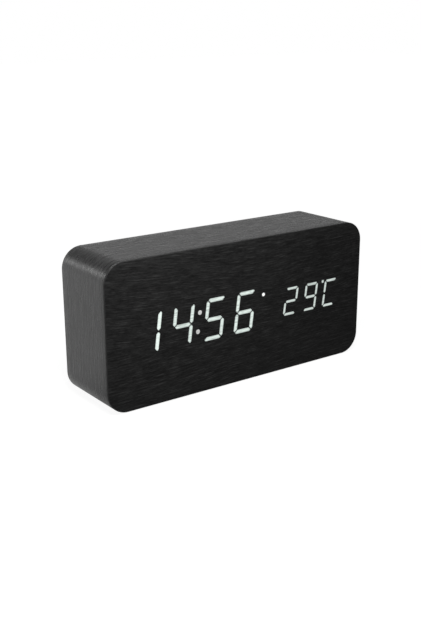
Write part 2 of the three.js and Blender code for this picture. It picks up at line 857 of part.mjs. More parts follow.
// Battery door: a plate that hooks under the cover's lip on its right and latches on its left
function batteryDoor() {
  const plate = slab(
    roundedRectangle(doorWidth, doorHeight, doorCornerRadius - doorClearance, bayX, 0),
    doorInnerY,
    coverOuterY,
  );
  const doorRight = bayX + doorWidth / 2;
  const doorLeft = bayX - doorWidth / 2;
  const hooks = [-1, 1].map((side) => {
    const z = (side * hookSpacing) / 2;
    return block(
      [doorRight - overrun, doorInnerY, z - hookWidth / 2],
      [doorRight + hookLength, doorInnerY + hookThickness, z + hookWidth / 2],
    );
  });
  const grips = Array.from({ length: gripCount }, (_, i) => {
    const x = doorLeft + latchLength / 2 + (i - (gripCount - 1) / 2) * gripPitch;
    return block(
      [x - gripPitch / 4, coverOuterY - gripHeight, -gripWidth / 2],
      [x + gripPitch / 4, coverOuterY + gripHeight, gripWidth / 2],
    );
  });
  const latchSlots = [-1, 1].map((side) => {
    const z = (side * (latchWidth + latchSlot)) / 2;
    return block(
      [doorLeft - overrun, doorInnerY - overrun, z - latchSlot / 2],
      [doorLeft + latchLength, coverOuterY + overrun, z + latchSlot / 2],
    );
  });
  return cut(join([plate, ...hooks, ...grips]), latchSlots);
}

piece("battery_door", batteryDoor(), blackPlastic);

// Cells, the middle one the other way round
function cell() {
  return turned(
    [
      [0, 0],
      [cellRadius - cellCrimp, 0],
      [cellRadius, cellCrimp],
      [cellRadius, cellLength - cellNubHeight - cellCrimp],
      [cellRadius - cellCrimp, cellLength - cellNubHeight],
      [cellNubRadius, cellLength - cellNubHeight],
      [cellNubRadius, cellLength],
      [0, cellLength],
    ],
    roundSides,
  );
}

cellZ.forEach((z, i) => {
  const flip = i % 2 ? -1 : 1;
  const baseX = flip > 0 ? bayLeft + springEnd : bayRight - springEnd;
  const mesh = piece(`cell_${i + 1}`, cell(), cellWrap, baseX, cellY, z);
  mesh.rotation.z = (-flip * Math.PI) / 2;
});

// A conical contact spring, wound about X from the contact plate outwards
class ContactSpring extends THREE.Curve {
  getPoint(share, target = new THREE.Vector3()) {
    const angle = 2 * Math.PI * springTurnCount * share;
    const radius = THREE.MathUtils.lerp(springBaseRadius, springTipRadius, share);
    const x = share * (springLength - springWireRadius);
    return target.set(x, radius * Math.cos(angle), radius * Math.sin(angle));
  }
}

const springSteps = 8 * springTurnCount;
const contactSpring = new ContactSpring();

// The least gap between two turns of the spring's wire, in millimetres
function leastSpringGap() {
  const points = contactSpring.getPoints(springSteps);
  const apart = springSteps / springTurnCount / 2;
  let least = Infinity;
  points.forEach((p, i) =>
    points.slice(i + apart).forEach((other) => {
      least = Math.min(least, p.distanceTo(other));
    }),
  );
  return least - 2 * springWireRadius;
}

console.log(`battery spring's least gap: ${leastSpringGap().toFixed(2)} mm`);

const wireSection = (radius, sides) =>
  new THREE.Shape(
    Array.from({ length: sides }, (_, i) => {
      const angle = (2 * Math.PI * i) / sides;
      return new THREE.Vector2(radius * Math.cos(angle), radius * Math.sin(angle));
    }),
  );

function springSolid() {
  const settings = { steps: springSteps, bevelEnabled: false, extrudePath: contactSpring };
  return solid(new THREE.ExtrudeGeometry(wireSection(springWireRadius, wireSides - 1), settings));
}

// A contact plate that faces +X, with springs and dimples at the given heights
function batteryContact(springs, dimples) {
  const heights = [...springs, ...dimples];
  const half = contactWidth / 2;
  const plate = block(
    [-contactThickness, -half, Math.min(...heights) - half],
    [0, half, Math.max(...heights) + half],
  );
  const coils = springs.map((z) => springSolid().translate([0, 0, z]));
  const bumps = dimples.map((z) => crossRod(dimpleRadius, -contactThickness / 2, dimpleHeight, 0, z));
  return join([plate, ...coils, ...bumps]);
}

const contactLeftX = bayLeft + contactRoom;
const contactRightX = bayRight - contactRoom;
piece("battery_link_left", batteryContact([cellZ[0]], [cellZ[1]]), steel, contactLeftX, cellY);
piece("battery_contact_minus", batteryContact([cellZ[2]], []), steel, contactLeftX, cellY);
for (const [name, made] of [
  ["battery_link_right", batteryContact([cellZ[1]], [cellZ[2]])],
  ["battery_contact_plus", batteryContact([], [cellZ[0]])],
]) {
  piece(name, made, steel, contactRightX, cellY).rotation.z = Math.PI;
}

// Main board, with a cut-out for the power socket
function mainBoard() {
  const outline = roundedRectangle(
    mainBoardWidth,
    mainBoardHeight,
    boardCornerRadius,
    (mainBoardLeft + mainBoardRight) / 2,
    0,
  );
  const notch = jackSize + 2 * fitClearance;
  outline.holes.push(roundedRectangle(notch, notch, fitClearance, jackX, jackZ));
  for (const share of bossShares) {
    outline.holes.push(dotShape(boardScrew.shaftRadius + shaftClearance, ...onBoard(share)));
  }
  return slab(outline, mainBoardFrontY, mainBoardBackY);
}

piece("main_board", mainBoard(), circuitBoard);
bossShares.forEach((share, i) => {
  const [x, z] = onBoard(share);
  const y = mainBoardFrontY - seat;
  const mesh = piece(`main_board_screw_${i + 1}`, plainScrew(boardScrew, beadSides), steel, x, y, z);
  mesh.rotation.x = Math.PI;
});

// Buttons, each a cap over the plunger of its switch
function buttonCap() {
  const flangeRadius = capRadius + flangeMargin;
  const top = flangeHeight + seat + coverThickness + capProud;
  return turned(
    [
      [0, 0],
      [flangeRadius, 0],
      [flangeRadius, flangeHeight],
      [capRadius, flangeHeight],
      [capRadius, top - capChamfer],
      [capRadius - capChamfer, top],
      [0, top],
    ],
    roundSides,
  );
}

// A square switch on four legs. Its base is at zero.
function switchBody() {
  const half = switchSize / 2;
  const body = block([-half, 0, -half], [half, switchHeight, half]);
  const legs = fourCorners.map(([x, z]) => {
    const legZ = (z * switchSize) / 3;
    const leg = block(
      [half - overrun / 2, 0, legZ - switchLegWidth / 2],
      [half + switchLegLength, switchLegThickness, legZ + switchLegWidth / 2],
    );
    return x > 0 ? leg : leg.mirror([1, 0, 0]);
  });
  const bore = rod(
    plungerRadius + shaftClearance,
    switchHeight - plungerDepth - buttonTravel - fitClearance,
    switchHeight + overrun,
  );
  return cut(join([body, ...legs]), [bore]);
}

for (const [name, share] of Object.entries(buttonShares)) {
  const [x, z] = onBoard(share);
  piece(`${name}_button_cap`, buttonCap(), blackPlastic, x, capBottomY, z);
  const plunger = rod(plungerRadius, switchTopY - plungerDepth, capBottomY - seat / 2);
  piece(`${name}_switch_plunger`, plunger, chipBlack, x, 0, z);
  piece(`${name}_switch`, switchBody(), steel, x, mainBoardBackY + seat / 2, z);
}

// Power socket for a round plug, held by two ears on the board
function powerSocket() {
  const half = jackSize / 2;
  const faceY = mainBoardBackY + jackProud;
  const body = block([-half, faceY - jackLength, -half], [half, faceY, half]);
  const ears = block(
    [-half - jackEar, mainBoardBackY + seat, -half / 2],
    [half + jackEar, mainBoardBackY + seat + jackEarThickness, half / 2],
  );
  const bore = rod(jackBoreRadius, faceY - jackBoreDepth, faceY + overrun, 0, 0, roundSides);
  const pin = rod(jackPinRadius, faceY - jackBoreDepth - overrun / 2, faceY - jackBoreDepth + jackPinLength);
  return join([cut(join([body, ears]), [bore]), pin]);
}

piece("power_socket", powerSocket(), blackPlastic, jackX, 0, jackZ);

// Small parts on the main board
function buzzer() {
  return turned(
    [
      [0, 0],
      [buzzerRadius, 0],
      [buzzerRadius, buzzerHeight - buzzerRim],
      [buzzerRadius - buzzerRim, buzzerHeight],
      [buzzerHoleRadius, buzzerHeight],
      [buzzerHoleRadius, buzzerHeight / 2],
      [0, buzzerHeight / 2],
    ],
    roundSides,
  );
}

function microphone() {
  return turned([
    [0, 0],
    [microphoneRadius, 0],
    [microphoneRadius, microphoneHeight],
    [microphoneRadius - microphoneRecess, microphoneHeight],
    [microphoneRadius - microphoneRecess, microphoneHeight - microphoneRecess],
    [0, microphoneHeight - microphoneRecess],
  ]);
}

function thermistor() {
  const bead = new THREE.SphereGeometry(beadRadius, beadSides, wireSides);
  bead.translate(0, beadStand, 0);
  const leads = [-1, 1].map((side) =>
    rod(leadRadius, 0, beadStand, (side * leadSpacing) / 2, 0, wireSides),
  );
  return join([solid(bead), ...leads]);
}

function controllerChip() {
  const halfLength = chip.length / 2;
  const halfWidth = chip.width / 2;
  const body = block([-halfLength, -chip.height, -halfWidth], [halfLength, 0, halfWidth]);
  const pins = Array.from({ length: chipPinCount }, (_, i) => {
    const x = ((i + 0.5) / chipPinCount - 0.5) * chip.length;
    return block(
      [x - chipPin.width / 2, -chipPin.thickness, -halfWidth - chipPin.reach],
      [x + chipPin.width / 2, 0, halfWidth + chipPin.reach],
    );
  });
  return join([body, ...pins]);
}

function crystal() {
  const half = crystalLength / 2;
  return join([
    crossRod(crystalRadius, -half, half, 0, 0),
    crossRod(crystalRadius * crystalRimShare, half - overrun / 2, half + overrun / 2, 0, 0),
  ]);
}

const onRearY = mainBoardBackY + seat;
const onFrontY = mainBoardFrontY - seat;
const [chipX, chipZ] = onBoard(chipShare);
const [crystalX, crystalZ] = onBoard(crystalShare);
piece("buzzer", buzzer(), blackPlastic, buzzerX, onRearY, buzzerZ);
piece("microphone", microphone(), steel, microphoneX, onRearY, microphoneZ);
piece("thermistor", thermistor(), beadBrown, thermistorX, onRearY, thermistorZ);
piece("controller_chip", controllerChip(), chipBlack, chipX, onFrontY, chipZ);
piece("clock_crystal", crystal(), steel, crystalX, onFrontY - crystalRadius, crystalZ);

// Ribbon cable from the display board to the main board, through a connector at each end
function connector() {
  return block([-plugLength / 2, 0, -plugWidth / 2], [plugLength / 2, plugHeight, plugWidth / 2]);
}

function ribbonCable(startY, startZ, endY, endZ) {
  const bend = (endY - startY) * ribbonBendShare;
  const path = new THREE.CubicBezierCurve3(
    new THREE.Vector3(0, startY, startZ),
    new THREE.Vector3(0, startY + bend, startZ),
    new THREE.Vector3(0, endY - bend, endZ),
    new THREE.Vector3(0, endY, endZ),
  );
  const half = ribbonThickness / 2;
  const section = new THREE.Shape(
    [[-1, -half], [1, -half], [1, half], [-1, half]].map(
      ([x, y]) => new THREE.Vector2((x * ribbonWidth) / 2, y),
    ),
  );
  const settings = { steps: smallSides, bevelEnabled: false, extrudePath: path };
  return solid(new THREE.ExtrudeGeometry(section, settings));
}

const [plugX, plugZ] = onBoard(plugShare);
const displayPlugY = displayBoardBackY + seat;
const mainPlugY = onFrontY - plugHeight;
const displayPlugZ = plugZ + ribbonShift;
piece("display_connector", connector(), cream, plugX, displayPlugY, displayPlugZ);
piece("main_connector", connector(), cream, plugX, mainPlugY, plugZ);
piece(
  "ribbon_cable",
  ribbonCable(displayPlugY + plugHeight + ribbonGap, displayPlugZ, mainPlugY - ribbonGap, plugZ),
  ribbonGrey,
  plugX,
);

// Battery leads, from the outer ends of the bay to the front of the main board
function lead(points, steps) {
  const path = new THREE.CatmullRomCurve3(points.map((p) => new THREE.Vector3(...p)));
  const settings = { steps, bevelEnabled: false, extrudePath: path };
  return solid(new THREE.ExtrudeGeometry(wireSection(leadWireRadius, wireSides), settings));
}

const leadY = bayBottomY - leadWireDrop;
const leadTopY = onFrontY - ribbonGap;
const [minusEndX, plusEndX] = wireShares.map((share) => mainBoardLeft + share * mainBoardWidth);
const bayOuterLeft = bayLeft - bayWall;
const bayOuterRight = bayRight + bayWall;
const minusLead = lead(
  [
    [contactLeftX - contactThickness - ribbonGap, leadExitY, cellZ[2]],
    [bayOuterLeft - leadWireRadius, leadExitY, cellZ[2]],
    [bayOuterLeft - leadWireBend, leadTopY - leadWireBend, cellZ[2]],
    [minusEndX + leadWireBend / 2, leadTopY - leadWireBend, cellZ[2]],
    [minusEndX, leadTopY - leadWireBend / 2, cellZ[2]],
    [minusEndX, leadTopY, cellZ[2]],
  ],
  smallSides,
);
const plusLead = lead(
  [
    [contactRightX + contactThickness + ribbonGap, leadExitY, cellZ[0]],
    [bayOuterRight + leadWireRadius, leadExitY, cellZ[0]],
    [bayOuterRight + leadWireBend, leadExitY - leadWireBend, cellZ[0]],
    [bayOuterRight - leadWireBend, leadY, cellZ[0]],
    [bayX, leadY, cellZ[0]],
    [bayOuterLeft, leadY, cellZ[0]],
    [plusEndX, leadTopY - leadWireBend, cellZ[0]],
    [plusEndX, leadTopY, cellZ[0]],
  ],
  2 * smallSides,
);
piece("battery_lead_minus", minusLead, chipBlack);
piece("battery_lead_plus", plusLead, redWire);

export default group;
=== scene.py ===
"""Looks of a block-shaped digital desk clock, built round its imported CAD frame."""

import json
import math

import bmesh
import bpy
from mathutils import Matrix, Vector
from mathutils.geometry import delaunay_2d_cdt, tessellate_polygon


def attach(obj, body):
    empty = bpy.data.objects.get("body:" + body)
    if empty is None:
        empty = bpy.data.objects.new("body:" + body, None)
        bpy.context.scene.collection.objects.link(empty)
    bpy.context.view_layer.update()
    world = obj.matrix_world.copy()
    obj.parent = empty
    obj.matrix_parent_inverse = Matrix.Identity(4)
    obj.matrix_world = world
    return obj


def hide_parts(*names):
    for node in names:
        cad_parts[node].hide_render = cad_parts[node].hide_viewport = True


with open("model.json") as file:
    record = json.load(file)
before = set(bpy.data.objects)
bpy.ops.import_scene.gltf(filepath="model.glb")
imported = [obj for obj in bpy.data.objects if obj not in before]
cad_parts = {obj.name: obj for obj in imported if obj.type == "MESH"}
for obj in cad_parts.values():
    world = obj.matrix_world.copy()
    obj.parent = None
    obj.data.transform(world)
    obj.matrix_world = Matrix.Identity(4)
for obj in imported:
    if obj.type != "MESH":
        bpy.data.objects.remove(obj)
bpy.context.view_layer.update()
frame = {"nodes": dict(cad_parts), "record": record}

MM = 0.001

# Sizes, in millimetres, as in the part's source
WIDTH, BODY_HEIGHT, DEPTH, CORNER = 150.0, 69.2, 38.0, 10.0
FOOT_HEIGHT = 0.8
MID_Z = FOOT_HEIGHT + BODY_HEIGHT / 2
FRONT_Y, BACK_Y = -DEPTH / 2, DEPTH / 2
FILM = 0.5
ADHESIVE = 0.05
CASE_FRONT_Y = FRONT_Y + FILM + ADHESIVE
CASE_BACK_Y = BACK_Y - FILM - ADHESIVE
ARC_STEPS = 24
ROUND_SIDES, SMALL_SIDES = 64, 48

# Rear cover, its openings and the battery bay
CAVITY_WIDTH, CAVITY_HEIGHT = WIDTH - 13, BODY_HEIGHT - 13
REBATE = (CAVITY_WIDTH + 4, CAVITY_HEIGHT + 4, 4)
COVER_GAP = 0.25
COVER_OUTER_Y, COVER_INNER_Y = BACK_Y - 1.0, BACK_Y - 3.2
BUTTON_HOLE, JACK_HOLE, MICROPHONE_HOLE = 3.2, 4.2, 0.9
SLOT_WIDTH, SLOT_PITCH, SLOT_STEPS, SOUND_RADIUS, VENT_LENGTH = 1.2, 2.4, 8, 6.0, 8.0
COVER_ROUNDING, DOOR_ROUNDING, INLET_ROUNDING = 0.18, 0.14, 0.2
SCREW_HEAD, SCREW_SEAT_Y = 2.55, BACK_Y - 2.25
BAY_X, BAY_HALF_HEIGHT, BAY_FLOOR_Y, BAY_WALL = (7.0, 57.0), 16.95, 5.3, 1.5
DOOR_LEDGE, DOOR_CORNER, DOOR_INNER_Y, DOOR_GAP = 1.5, 1.5, BACK_Y - 2.4, 0.25
HOOK_Z, HOOK_WIDTH, HOOK_LENGTH, HOOK_THICK = 9.0, 6.0, 1.5, 0.6
LATCH_WIDTH, LATCH_LENGTH, LATCH_SLOT = 9.0, 9.0, 0.9
NAIL_NOTCH, NAIL_DEPTH = 4.0, 1.1
GRIP_PITCH, GRIP_HALF, GRIP_PROUD = 1.4, 3.0, 0.3
CELL_PITCH, RIB_HEIGHT, RIB_WIDTH, SPRING_ROOM = 11.3, 2.4, 0.8, 4.15
CELL_Y, CELL_RADIUS, CELL_LENGTH = 10.85, 5.25, 44.5
CELL_Z = (CELL_PITCH, 0.0, -CELL_PITCH)
LEAD_HOLE, LEAD_Y = 0.9, 7.5
FOUR_CORNERS = ((-1, 1), (1, 1), (-1, -1), (1, -1))
COVER_SCREWS = [(x * 64.0, z * 23.6) for x, z in FOUR_CORNERS]
SCREW_SHAFT_HOLE = 1.45
BOARD_BACK_Y, BOSS_RADIUS, BOSS_HOLE = 10.25, 2.4, 1.0
BOSSES = ((-54.09, 14.44), (0.09, -4.56))
SMALL_Z = 3.8
BUTTONS = {"set": -20.7, "up": -34.56, "down": -48.42}
JACK_X, BUZZER, MICROPHONE, VENT = -5.58, (-43.38, -11.4), (-28.26, -9.88), (-12.51, -11.4)


# Mesh helpers
def rounded_outline(width, height, radius, steps=ARC_STEPS, x=0.0, z=0.0):
    """A rounded rectangle's (x, z) points, from the middle of its underside round by the right."""
    points = [(x, z - height / 2)]
    dx, dz = width / 2 - radius, height / 2 - radius
    for cx, cz, start in ((dx, -dz, -90), (dx, dz, 0), (-dx, dz, 90), (-dx, -dz, 180)):
        for step in range(steps + 1):
            angle = math.radians(start + 90 * step / steps)
            points.append((x + cx + radius * math.cos(angle), z + cz + radius * math.sin(angle)))
    return points


def add_object(name, data):
    obj = bpy.data.objects.new(name, data)
    bpy.context.scene.collection.objects.link(obj)
    return obj


def make_object(name, vertices, faces, uvs=None, smooth=True):
    """A mesh object from points in millimetres, with one UV per face corner where given."""
    mesh = bpy.data.meshes.new(name)
    mesh.from_pydata([tuple(c * MM for c in v) for v in vertices], [], faces)
    if uvs is not None:
        layer = mesh.uv_layers.new(name="grain")
        for loop, uv in zip(layer.data, uvs):
            loop.uv = uv
    mesh.validate()
    work = bmesh.new()
    work.from_mesh(mesh)
    bmesh.ops.recalc_face_normals(work, faces=work.faces)
    work.to_mesh(mesh)
    work.free()
    for polygon in mesh.polygons:
        polygon.use_smooth = smooth
    return add_object(name, mesh)


class Builder:
    """Gathers points, faces and grain UVs of one piece."""

    def __init__(self):
        self.vertices, self.faces, self.uvs = [], [], []

    def ring(self, points):
        start = len(self.vertices)
        self.vertices.extend(points)
        return list(range(start, start + len(points)))

    def face(self, indices, uvs):
        self.faces.append(indices)
        self.uvs.extend(uvs)

    def flat_face(self, indices):
        """A face in X-Z whose UVs are its own corners."""
        self.face(indices, [(self.vertices[i][0], self.vertices[i][2]) for i in indices])

    def bridge(self, ring_a, ring_b, lengths, va, vb):
        """Quads between two closed rings; lengths are the arc lengths along them."""
        n = len(ring_a)
        for i in range(n):
            j = (i + 1) % n
            self.face(
                [ring_a[i], ring_a[j], ring_b[j], ring_b[i]],
                [(lengths[i], va), (lengths[i + 1], va), (lengths[i + 1], vb), (lengths[i], vb)],
            )

    def cap(self, loops, flip=False):
        """A flat face in X-Z whose first loop is its outline and the rest its holes."""
        polygons = [[Vector(self.vertices[i]).xz.to_3d() for i in loop] for loop in loops]
        flat = [i for loop in loops for i in loop]
        for triangle in tessellate_polygon(polygons):
            corners = [flat[i] for i in triangle]
            a, b, c = (Vector(self.vertices[i]) for i in corners)
            faces_front = (b - a).cross(c - a).y < 0
            if faces_front == flip:
                corners.reverse()
            self.flat_face(corners)

    def build(self, name, smooth=True):
        return make_object(name, self.vertices, self.faces, self.uvs, smooth)


def prism(name, outline, y0, y1):
    """A closed prism along Y on an outline of (x, z) points."""
    build = Builder()
    lengths = arc_lengths(outline)
    near = build.ring([(x, y0, z) for x, z in outline])
    far = build.ring([(x, y1, z) for x, z in outline])
    build.bridge(far, near, lengths, y1, y0)
    build.cap([near])
    build.cap([far], flip=True)
    return build.build(name)


def round_bar(name, radius, y0, y1, x, z):
    return prism(name, dot_outline(radius, x, z, ROUND_SIDES), y0, y1)


def cross_bar(name, radius, x0, x1, y, z):
    profile = [(0, x0), (radius, x0), (radius, x1), (0, x1)]
    return turned(name, profile, "x", (0, y, z), sides=SMALL_SIDES)


def block(name, low, high):
    (x0, y0, z0), (x1, y1, z1) = low, high
    return prism(name, [(x0, z0), (x1, z0), (x1, z1), (x0, z1)], y0, y1)


def turned(name, profile, axis, centre, way=1, loop=False, sides=ROUND_SIDES):
    """A turned piece from (radius, height) pairs. Heights lie along the axis, in millimetres."""
    build = Builder()
    rings = []
    for radius, height in profile:
        points = []
        for i in range(sides if radius > 0 else 1):
            angle = 2 * math.pi * i / sides
            across = [radius * math.cos(angle), radius * math.sin(angle)]
            across.insert("xyz".index(axis), way * height)
            points.append(tuple(c + o for c, o in zip(centre, across)))
        rings.append((build.ring(points), height))
    for (a, low), (b, high) in zip(rings, rings[1:] + rings[: int(loop)]):
        for i in range(sides):
            j = (i + 1) % sides
            spots = {
                a[i % len(a)]: (i, low),
                a[j % len(a)]: (i + 1, low),
                b[j % len(b)]: (i + 1, high),
                b[i % len(b)]: (i, high),
            }
            if len(spots) > 2:
                build.face(list(spots), list(spots.values()))
    made = build.build(name)
    smooth_by_angle(made, 40)
    return made


def tube(name, points, radius, sides=12):
    """A round wire along points, closed at both ends."""
    build = Builder()
    path = [Vector(p) for p in points]
    neighbours = zip(path[:1] + path[:-1], path[1:] + path[-1:])
    tangents = [(after - before).normalized() for before, after in neighbours]
    across = tangents[0].orthogonal().normalized()
    rings = []
    for here, tangent in zip(path, tangents):
        across = (across - tangent * across.dot(tangent)).normalized()
        other = tangent.cross(across)
        spots = [across * a + other * b for a, b in dot_outline(1, 0, 0, sides)]
        rings.append(build.ring([tuple(here + radius * spot) for spot in spots]))
    flat = [0.0] * (sides + 1)
    for a, b in zip(rings, rings[1:]):
        build.bridge(a, b, flat, 0, 0)
    for end in (rings[0], rings[-1]):
        build.face(end, [(0, 0)] * sides)
    return build.build(name)


def arc(x, y, width, height, angles):
    """(radius, height) pairs on part of an ellipse about (x, y)."""
    return [(x + width * math.cos(a), y + height * math.sin(a)) for a in angles]


def settle(obj):
    """Applies an object's modifiers to its mesh."""
    bpy.context.view_layer.update()
    evaluated = obj.evaluated_get(bpy.context.evaluated_depsgraph_get())
    mesh = bpy.data.meshes.new_from_object(evaluated)
    obj.modifiers.clear()
    obj.data = mesh


def combine(base, others, operation):
    """Joins other solids to the base, or cuts them from it, and removes them."""
    for other in others:
        modifier = base.modifiers.new("combine", "BOOLEAN")
        modifier.operation = operation
        modifier.solver = "EXACT"
        modifier.object = other
    settle(base)
    for other in others:
        bpy.data.objects.remove(other)
    return base


def weld(objects, name):
    """Several objects as one piece."""
    work = bmesh.new()
    for obj in objects:
        work.from_mesh(obj.data)
        bpy.data.objects.remove(obj)
    mesh = bpy.data.meshes.new(name)
    work.to_mesh(mesh)
    work.free()
    return add_object(name, mesh)


def lift(obj):
    """Moves a piece built about the clock's middle to its height."""
    obj.data.transform(Matrix.Translation((0, 0, MID_Z * MM)))
    return obj


# Limits in the easing of edges, in millimetres and radians
WELD_GAP, LEVEL_GAP, FLAT_ANGLE = 0.002, 0.001, math.radians(1)
PARALLEL = 0.9999
MANY_CORNERS = 24


def ease_edges(obj, width, segments=3, angle=35):
    """Rounds an object's sharp edges and keeps its flats flat."""
    work = bmesh.new()
    work.from_mesh(obj.data)
    bmesh.ops.remove_doubles(work, verts=work.verts, dist=WELD_GAP * MM)
    bmesh.ops.dissolve_limit(work, angle_limit=FLAT_ANGLE, verts=work.verts, edges=work.edges)
    creases = [edge for edge in work.edges if len(edge.link_faces) == 2]
    sharp = [edge for edge in creases if edge.calc_face_angle() > math.radians(angle)]
    bmesh.ops.bevel(
        work, geom=sharp, offset=width * MM, segments=segments, profile=0.5, affect="EDGES"
    )
    refill_flats(work)
    bmesh.ops.holes_fill(work, edges=[edge for edge in work.edges if edge.is_boundary])
    work.to_mesh(obj.data)
    work.free()
    smooth_by_angle(obj, 30)
    even = obj.modifiers.new("even_normals", "WEIGHTED_NORMAL")
    even.keep_sharp = True
    even.weight = 100
    return obj


def flat_area(start, normal):
    """The faces in one face's plane that join up with it."""
    level = normal.dot(start.verts[0].co)
    area, queue = {start: None}, [start]
    while queue:
        for face in [face for edge in queue.pop().edges for face in edge.link_faces]:
            if face in area or face.normal.dot(normal) <= PARALLEL:
                continue
            if all(abs(vertex.co.dot(normal) - level) < LEVEL_GAP * MM for vertex in face.verts):
                area[face] = None
                queue.append(face)
    return area


def refill_flats(work):
    """Fills each flat area anew, so that no inner edge runs across an eased opening."""
    work.normal_update()
    used, inner = set(), {}
    for start in [face for face in work.faces if len(face.verts) > MANY_CORNERS]:
        if start in used:
            continue
        normal = start.normal.copy()
        area = flat_area(start, normal)
        used.update(area)
        edges = dict.fromkeys(edge for face in area for edge in face.edges)
        rim = [edge for edge in edges if sum(face in area for face in edge.link_faces) == 1]
        corners = list(dict.fromkeys(vertex for edge in rim for vertex in edge.verts))
        place = {vertex: index for index, vertex in enumerate(corners)}
        across = normal.orthogonal().normalized()
        along = normal.cross(across)
        points = [Vector((vertex.co.dot(across), vertex.co.dot(along))) / MM for vertex in corners]
        spans = [tuple(place[vertex] for vertex in edge.verts) for edge in rim]
        filled, _, triangles, sources, _, _ = delaunay_2d_cdt(points, spans, [], 1, 0.00001)
        if len(filled) != len(corners):
            continue
        bmesh.ops.delete(work, geom=list(area), context="FACES")
        for triangle in triangles:
            chosen = [sources[index][0] for index in triangle]
            middle = sum((points[index] for index in chosen), Vector((0, 0))) / 3
            if is_within(middle, points, spans):
                face = work.faces.new([corners[index] for index in chosen])
                inner.update(dict.fromkeys(edge for edge in face.edges if edge not in edges))
    work.normal_update()
    bmesh.ops.dissolve_limit(work, angle_limit=FLAT_ANGLE, verts=[], edges=list(inner))


def is_within(point, points, spans):
    """Tells whether a point lies inside an outline and outside its openings."""
    count = 0
    for first, last in spans:
        a, b = points[first], points[last]
        if (a.y > point.y) != (b.y > point.y):
            count += point.x < a.x + (point.y - a.y) / (b.y - a.y) * (b.x - a.x)
    return count % 2 == 1


def arc_lengths(points):
    lengths = [0.0]
    for (x0, z0), (x1, z1) in zip(points, points[1:] + points[:1]):
        lengths.append(lengths[-1] + math.hypot(x1 - x0, z1 - z0))
    return lengths


def smooth_by_angle(obj, degrees):
    """Smooth shading with sharp edges kept."""
    for polygon in obj.data.polygons:
        polygon.use_smooth = True
    obj.data.set_sharp_from_angle(angle=math.radians(degrees))


# Film pieces
EDGE, SHEET_EDGE = 0.12, 0.32


def edge_profile(radius=EDGE, steps=4):
    """(inset, back from the face) pairs of a small rounded edge, from the face to the side."""
    angles = [math.pi / 2 * i / steps for i in range(steps + 1)]
    return [(radius * (1 - math.sin(a)), radius * (1 - math.cos(a))) for a in angles]


def case_ring(inset, y):
    outline = rounded_outline(WIDTH - 2 * inset, BODY_HEIGHT - 2 * inset, CORNER - inset)
    return [(x, y, z + MID_Z) for x, z in outline]


def film_sheet(name, face_y, way, holes):
    """A film sheet on the front or the back. way is 1 where the sheet lies behind its face."""
    build = Builder()
    lengths = arc_lengths(rounded_outline(WIDTH, BODY_HEIGHT, CORNER))
    profile = edge_profile(SHEET_EDGE)
    rings = [build.ring(case_ring(inset, face_y + way * back)) for inset, back in profile]
    rings.append(build.ring(case_ring(0, face_y + way * (FILM - EDGE))))
    rings.append(build.ring(case_ring(EDGE / 2, face_y + way * FILM)))
    for j, pair in enumerate(zip(rings, rings[1:])):
        build.bridge(*pair[::-way], lengths, j * EDGE, (j - way) * EDGE)
    rim_faces = len(build.faces)
    fronts, backs = [rings[0]], [rings[-1]]
    for hole in holes:
        fronts.append(build.ring([(x, face_y, z) for x, z in hole]))
        backs.append(build.ring([(x, face_y + way * FILM, z) for x, z in hole]))
        build.bridge(*(fronts[-1], backs[-1])[::way], arc_lengths(hole), 0, FILM)
    build.cap(fronts, flip=way < 0)
    build.cap(backs, flip=way > 0)
    made = build.build(name)
    smooth_by_angle(made, 60)
    return made, rim_faces


def dress_sheet(made, rim_faces, node, face_material):
    """Finishes a sheet, with a darker material on its rounded rim, which paints shade along the
    edge.
    """
    add_piece(made, "film", node, material=face_material)
    made.data.materials.append(FILM_EDGE_SHADE)
    for polygon in made.data.polygons[:rim_faces]:
        polygon.material_index = 1


def perimeter_film():
    """The band round the top, the ends and the underside. Its grain runs along the band."""
    build = Builder()
    lengths = arc_lengths(rounded_outline(WIDTH, BODY_HEIGHT, CORNER))
    half = (CASE_BACK_Y - CASE_FRONT_Y) / 2
    profile = [(FILM, half)] + [(inset, half - back) for inset, back in edge_profile()]
    profile += [(0, half * share) for share in (0.8, 0.4, 0.0, -0.4, -0.8)]
    profile += [(inset, back - half) for inset, back in reversed(edge_profile())]
    profile += [(FILM, -half)]
    rows = [(build.ring(case_ring(inset, y)), y) for inset, y in profile]
    for (a, ya), (b, yb) in zip(rows, rows[1:] + rows[:1]):
        build.bridge(b, a, lengths, yb, ya)
    return build.build("perimeter_wrap")


# Display: bars and dots, from the same shares as the CAD
def digit_sizes(*shares):
    """A digit's width, height, bar width and gap, from their shares of the clock's width."""
    return {key: share * WIDTH for key, share in zip("whbg", shares)}


TIME = digit_sizes(0.074, 0.134, 0.01235, 0.003)
TEMPERATURE = digit_sizes(0.0543, 0.0927, 0.00835, 0.00267)
SHEAR = math.tan(math.radians(7.6))
TIP_SHARE, BAR_ROUNDING = 0.3, 0.28
COLON_X = -0.174
TIME_X = [WIDTH * (COLON_X + step * 0.11853) for step in (-1.5, -0.5, 0.5, 1.5)]
TEMPERATURE_X = [WIDTH * (0.279 + step * 0.08507) for step in (-1, 0, 1)]
# How much higher the photo shows the temperature than the CAD has it
TEMPERATURE_RISE = 0.27
# Each bar's two ends, its outward side and whether each end meets a corner of the digit
BARS = {
    "a": ((-1, 1), (1, 1), (0, 1), (True, True)),
    "b": ((1, 1), (1, 0), (1, 0), (True, False)),
    "c": ((1, 0), (1, -1), (1, 0), (False, True)),
    "d": ((1, -1), (-1, -1), (0, -1), (True, True)),
    "e": ((-1, -1), (-1, 0), (-1, 0), (True, False)),
    "f": ((-1, 0), (-1, 1), (-1, 0), (False, True)),
    "g": ((-1, 0), (1, 0), (0, 1), (False, False)),
}
LIT = dict(zip("124569C", ("bc", "abdeg", "bcfg", "acdfg", "acdefg", "abcdfg", "adef")))


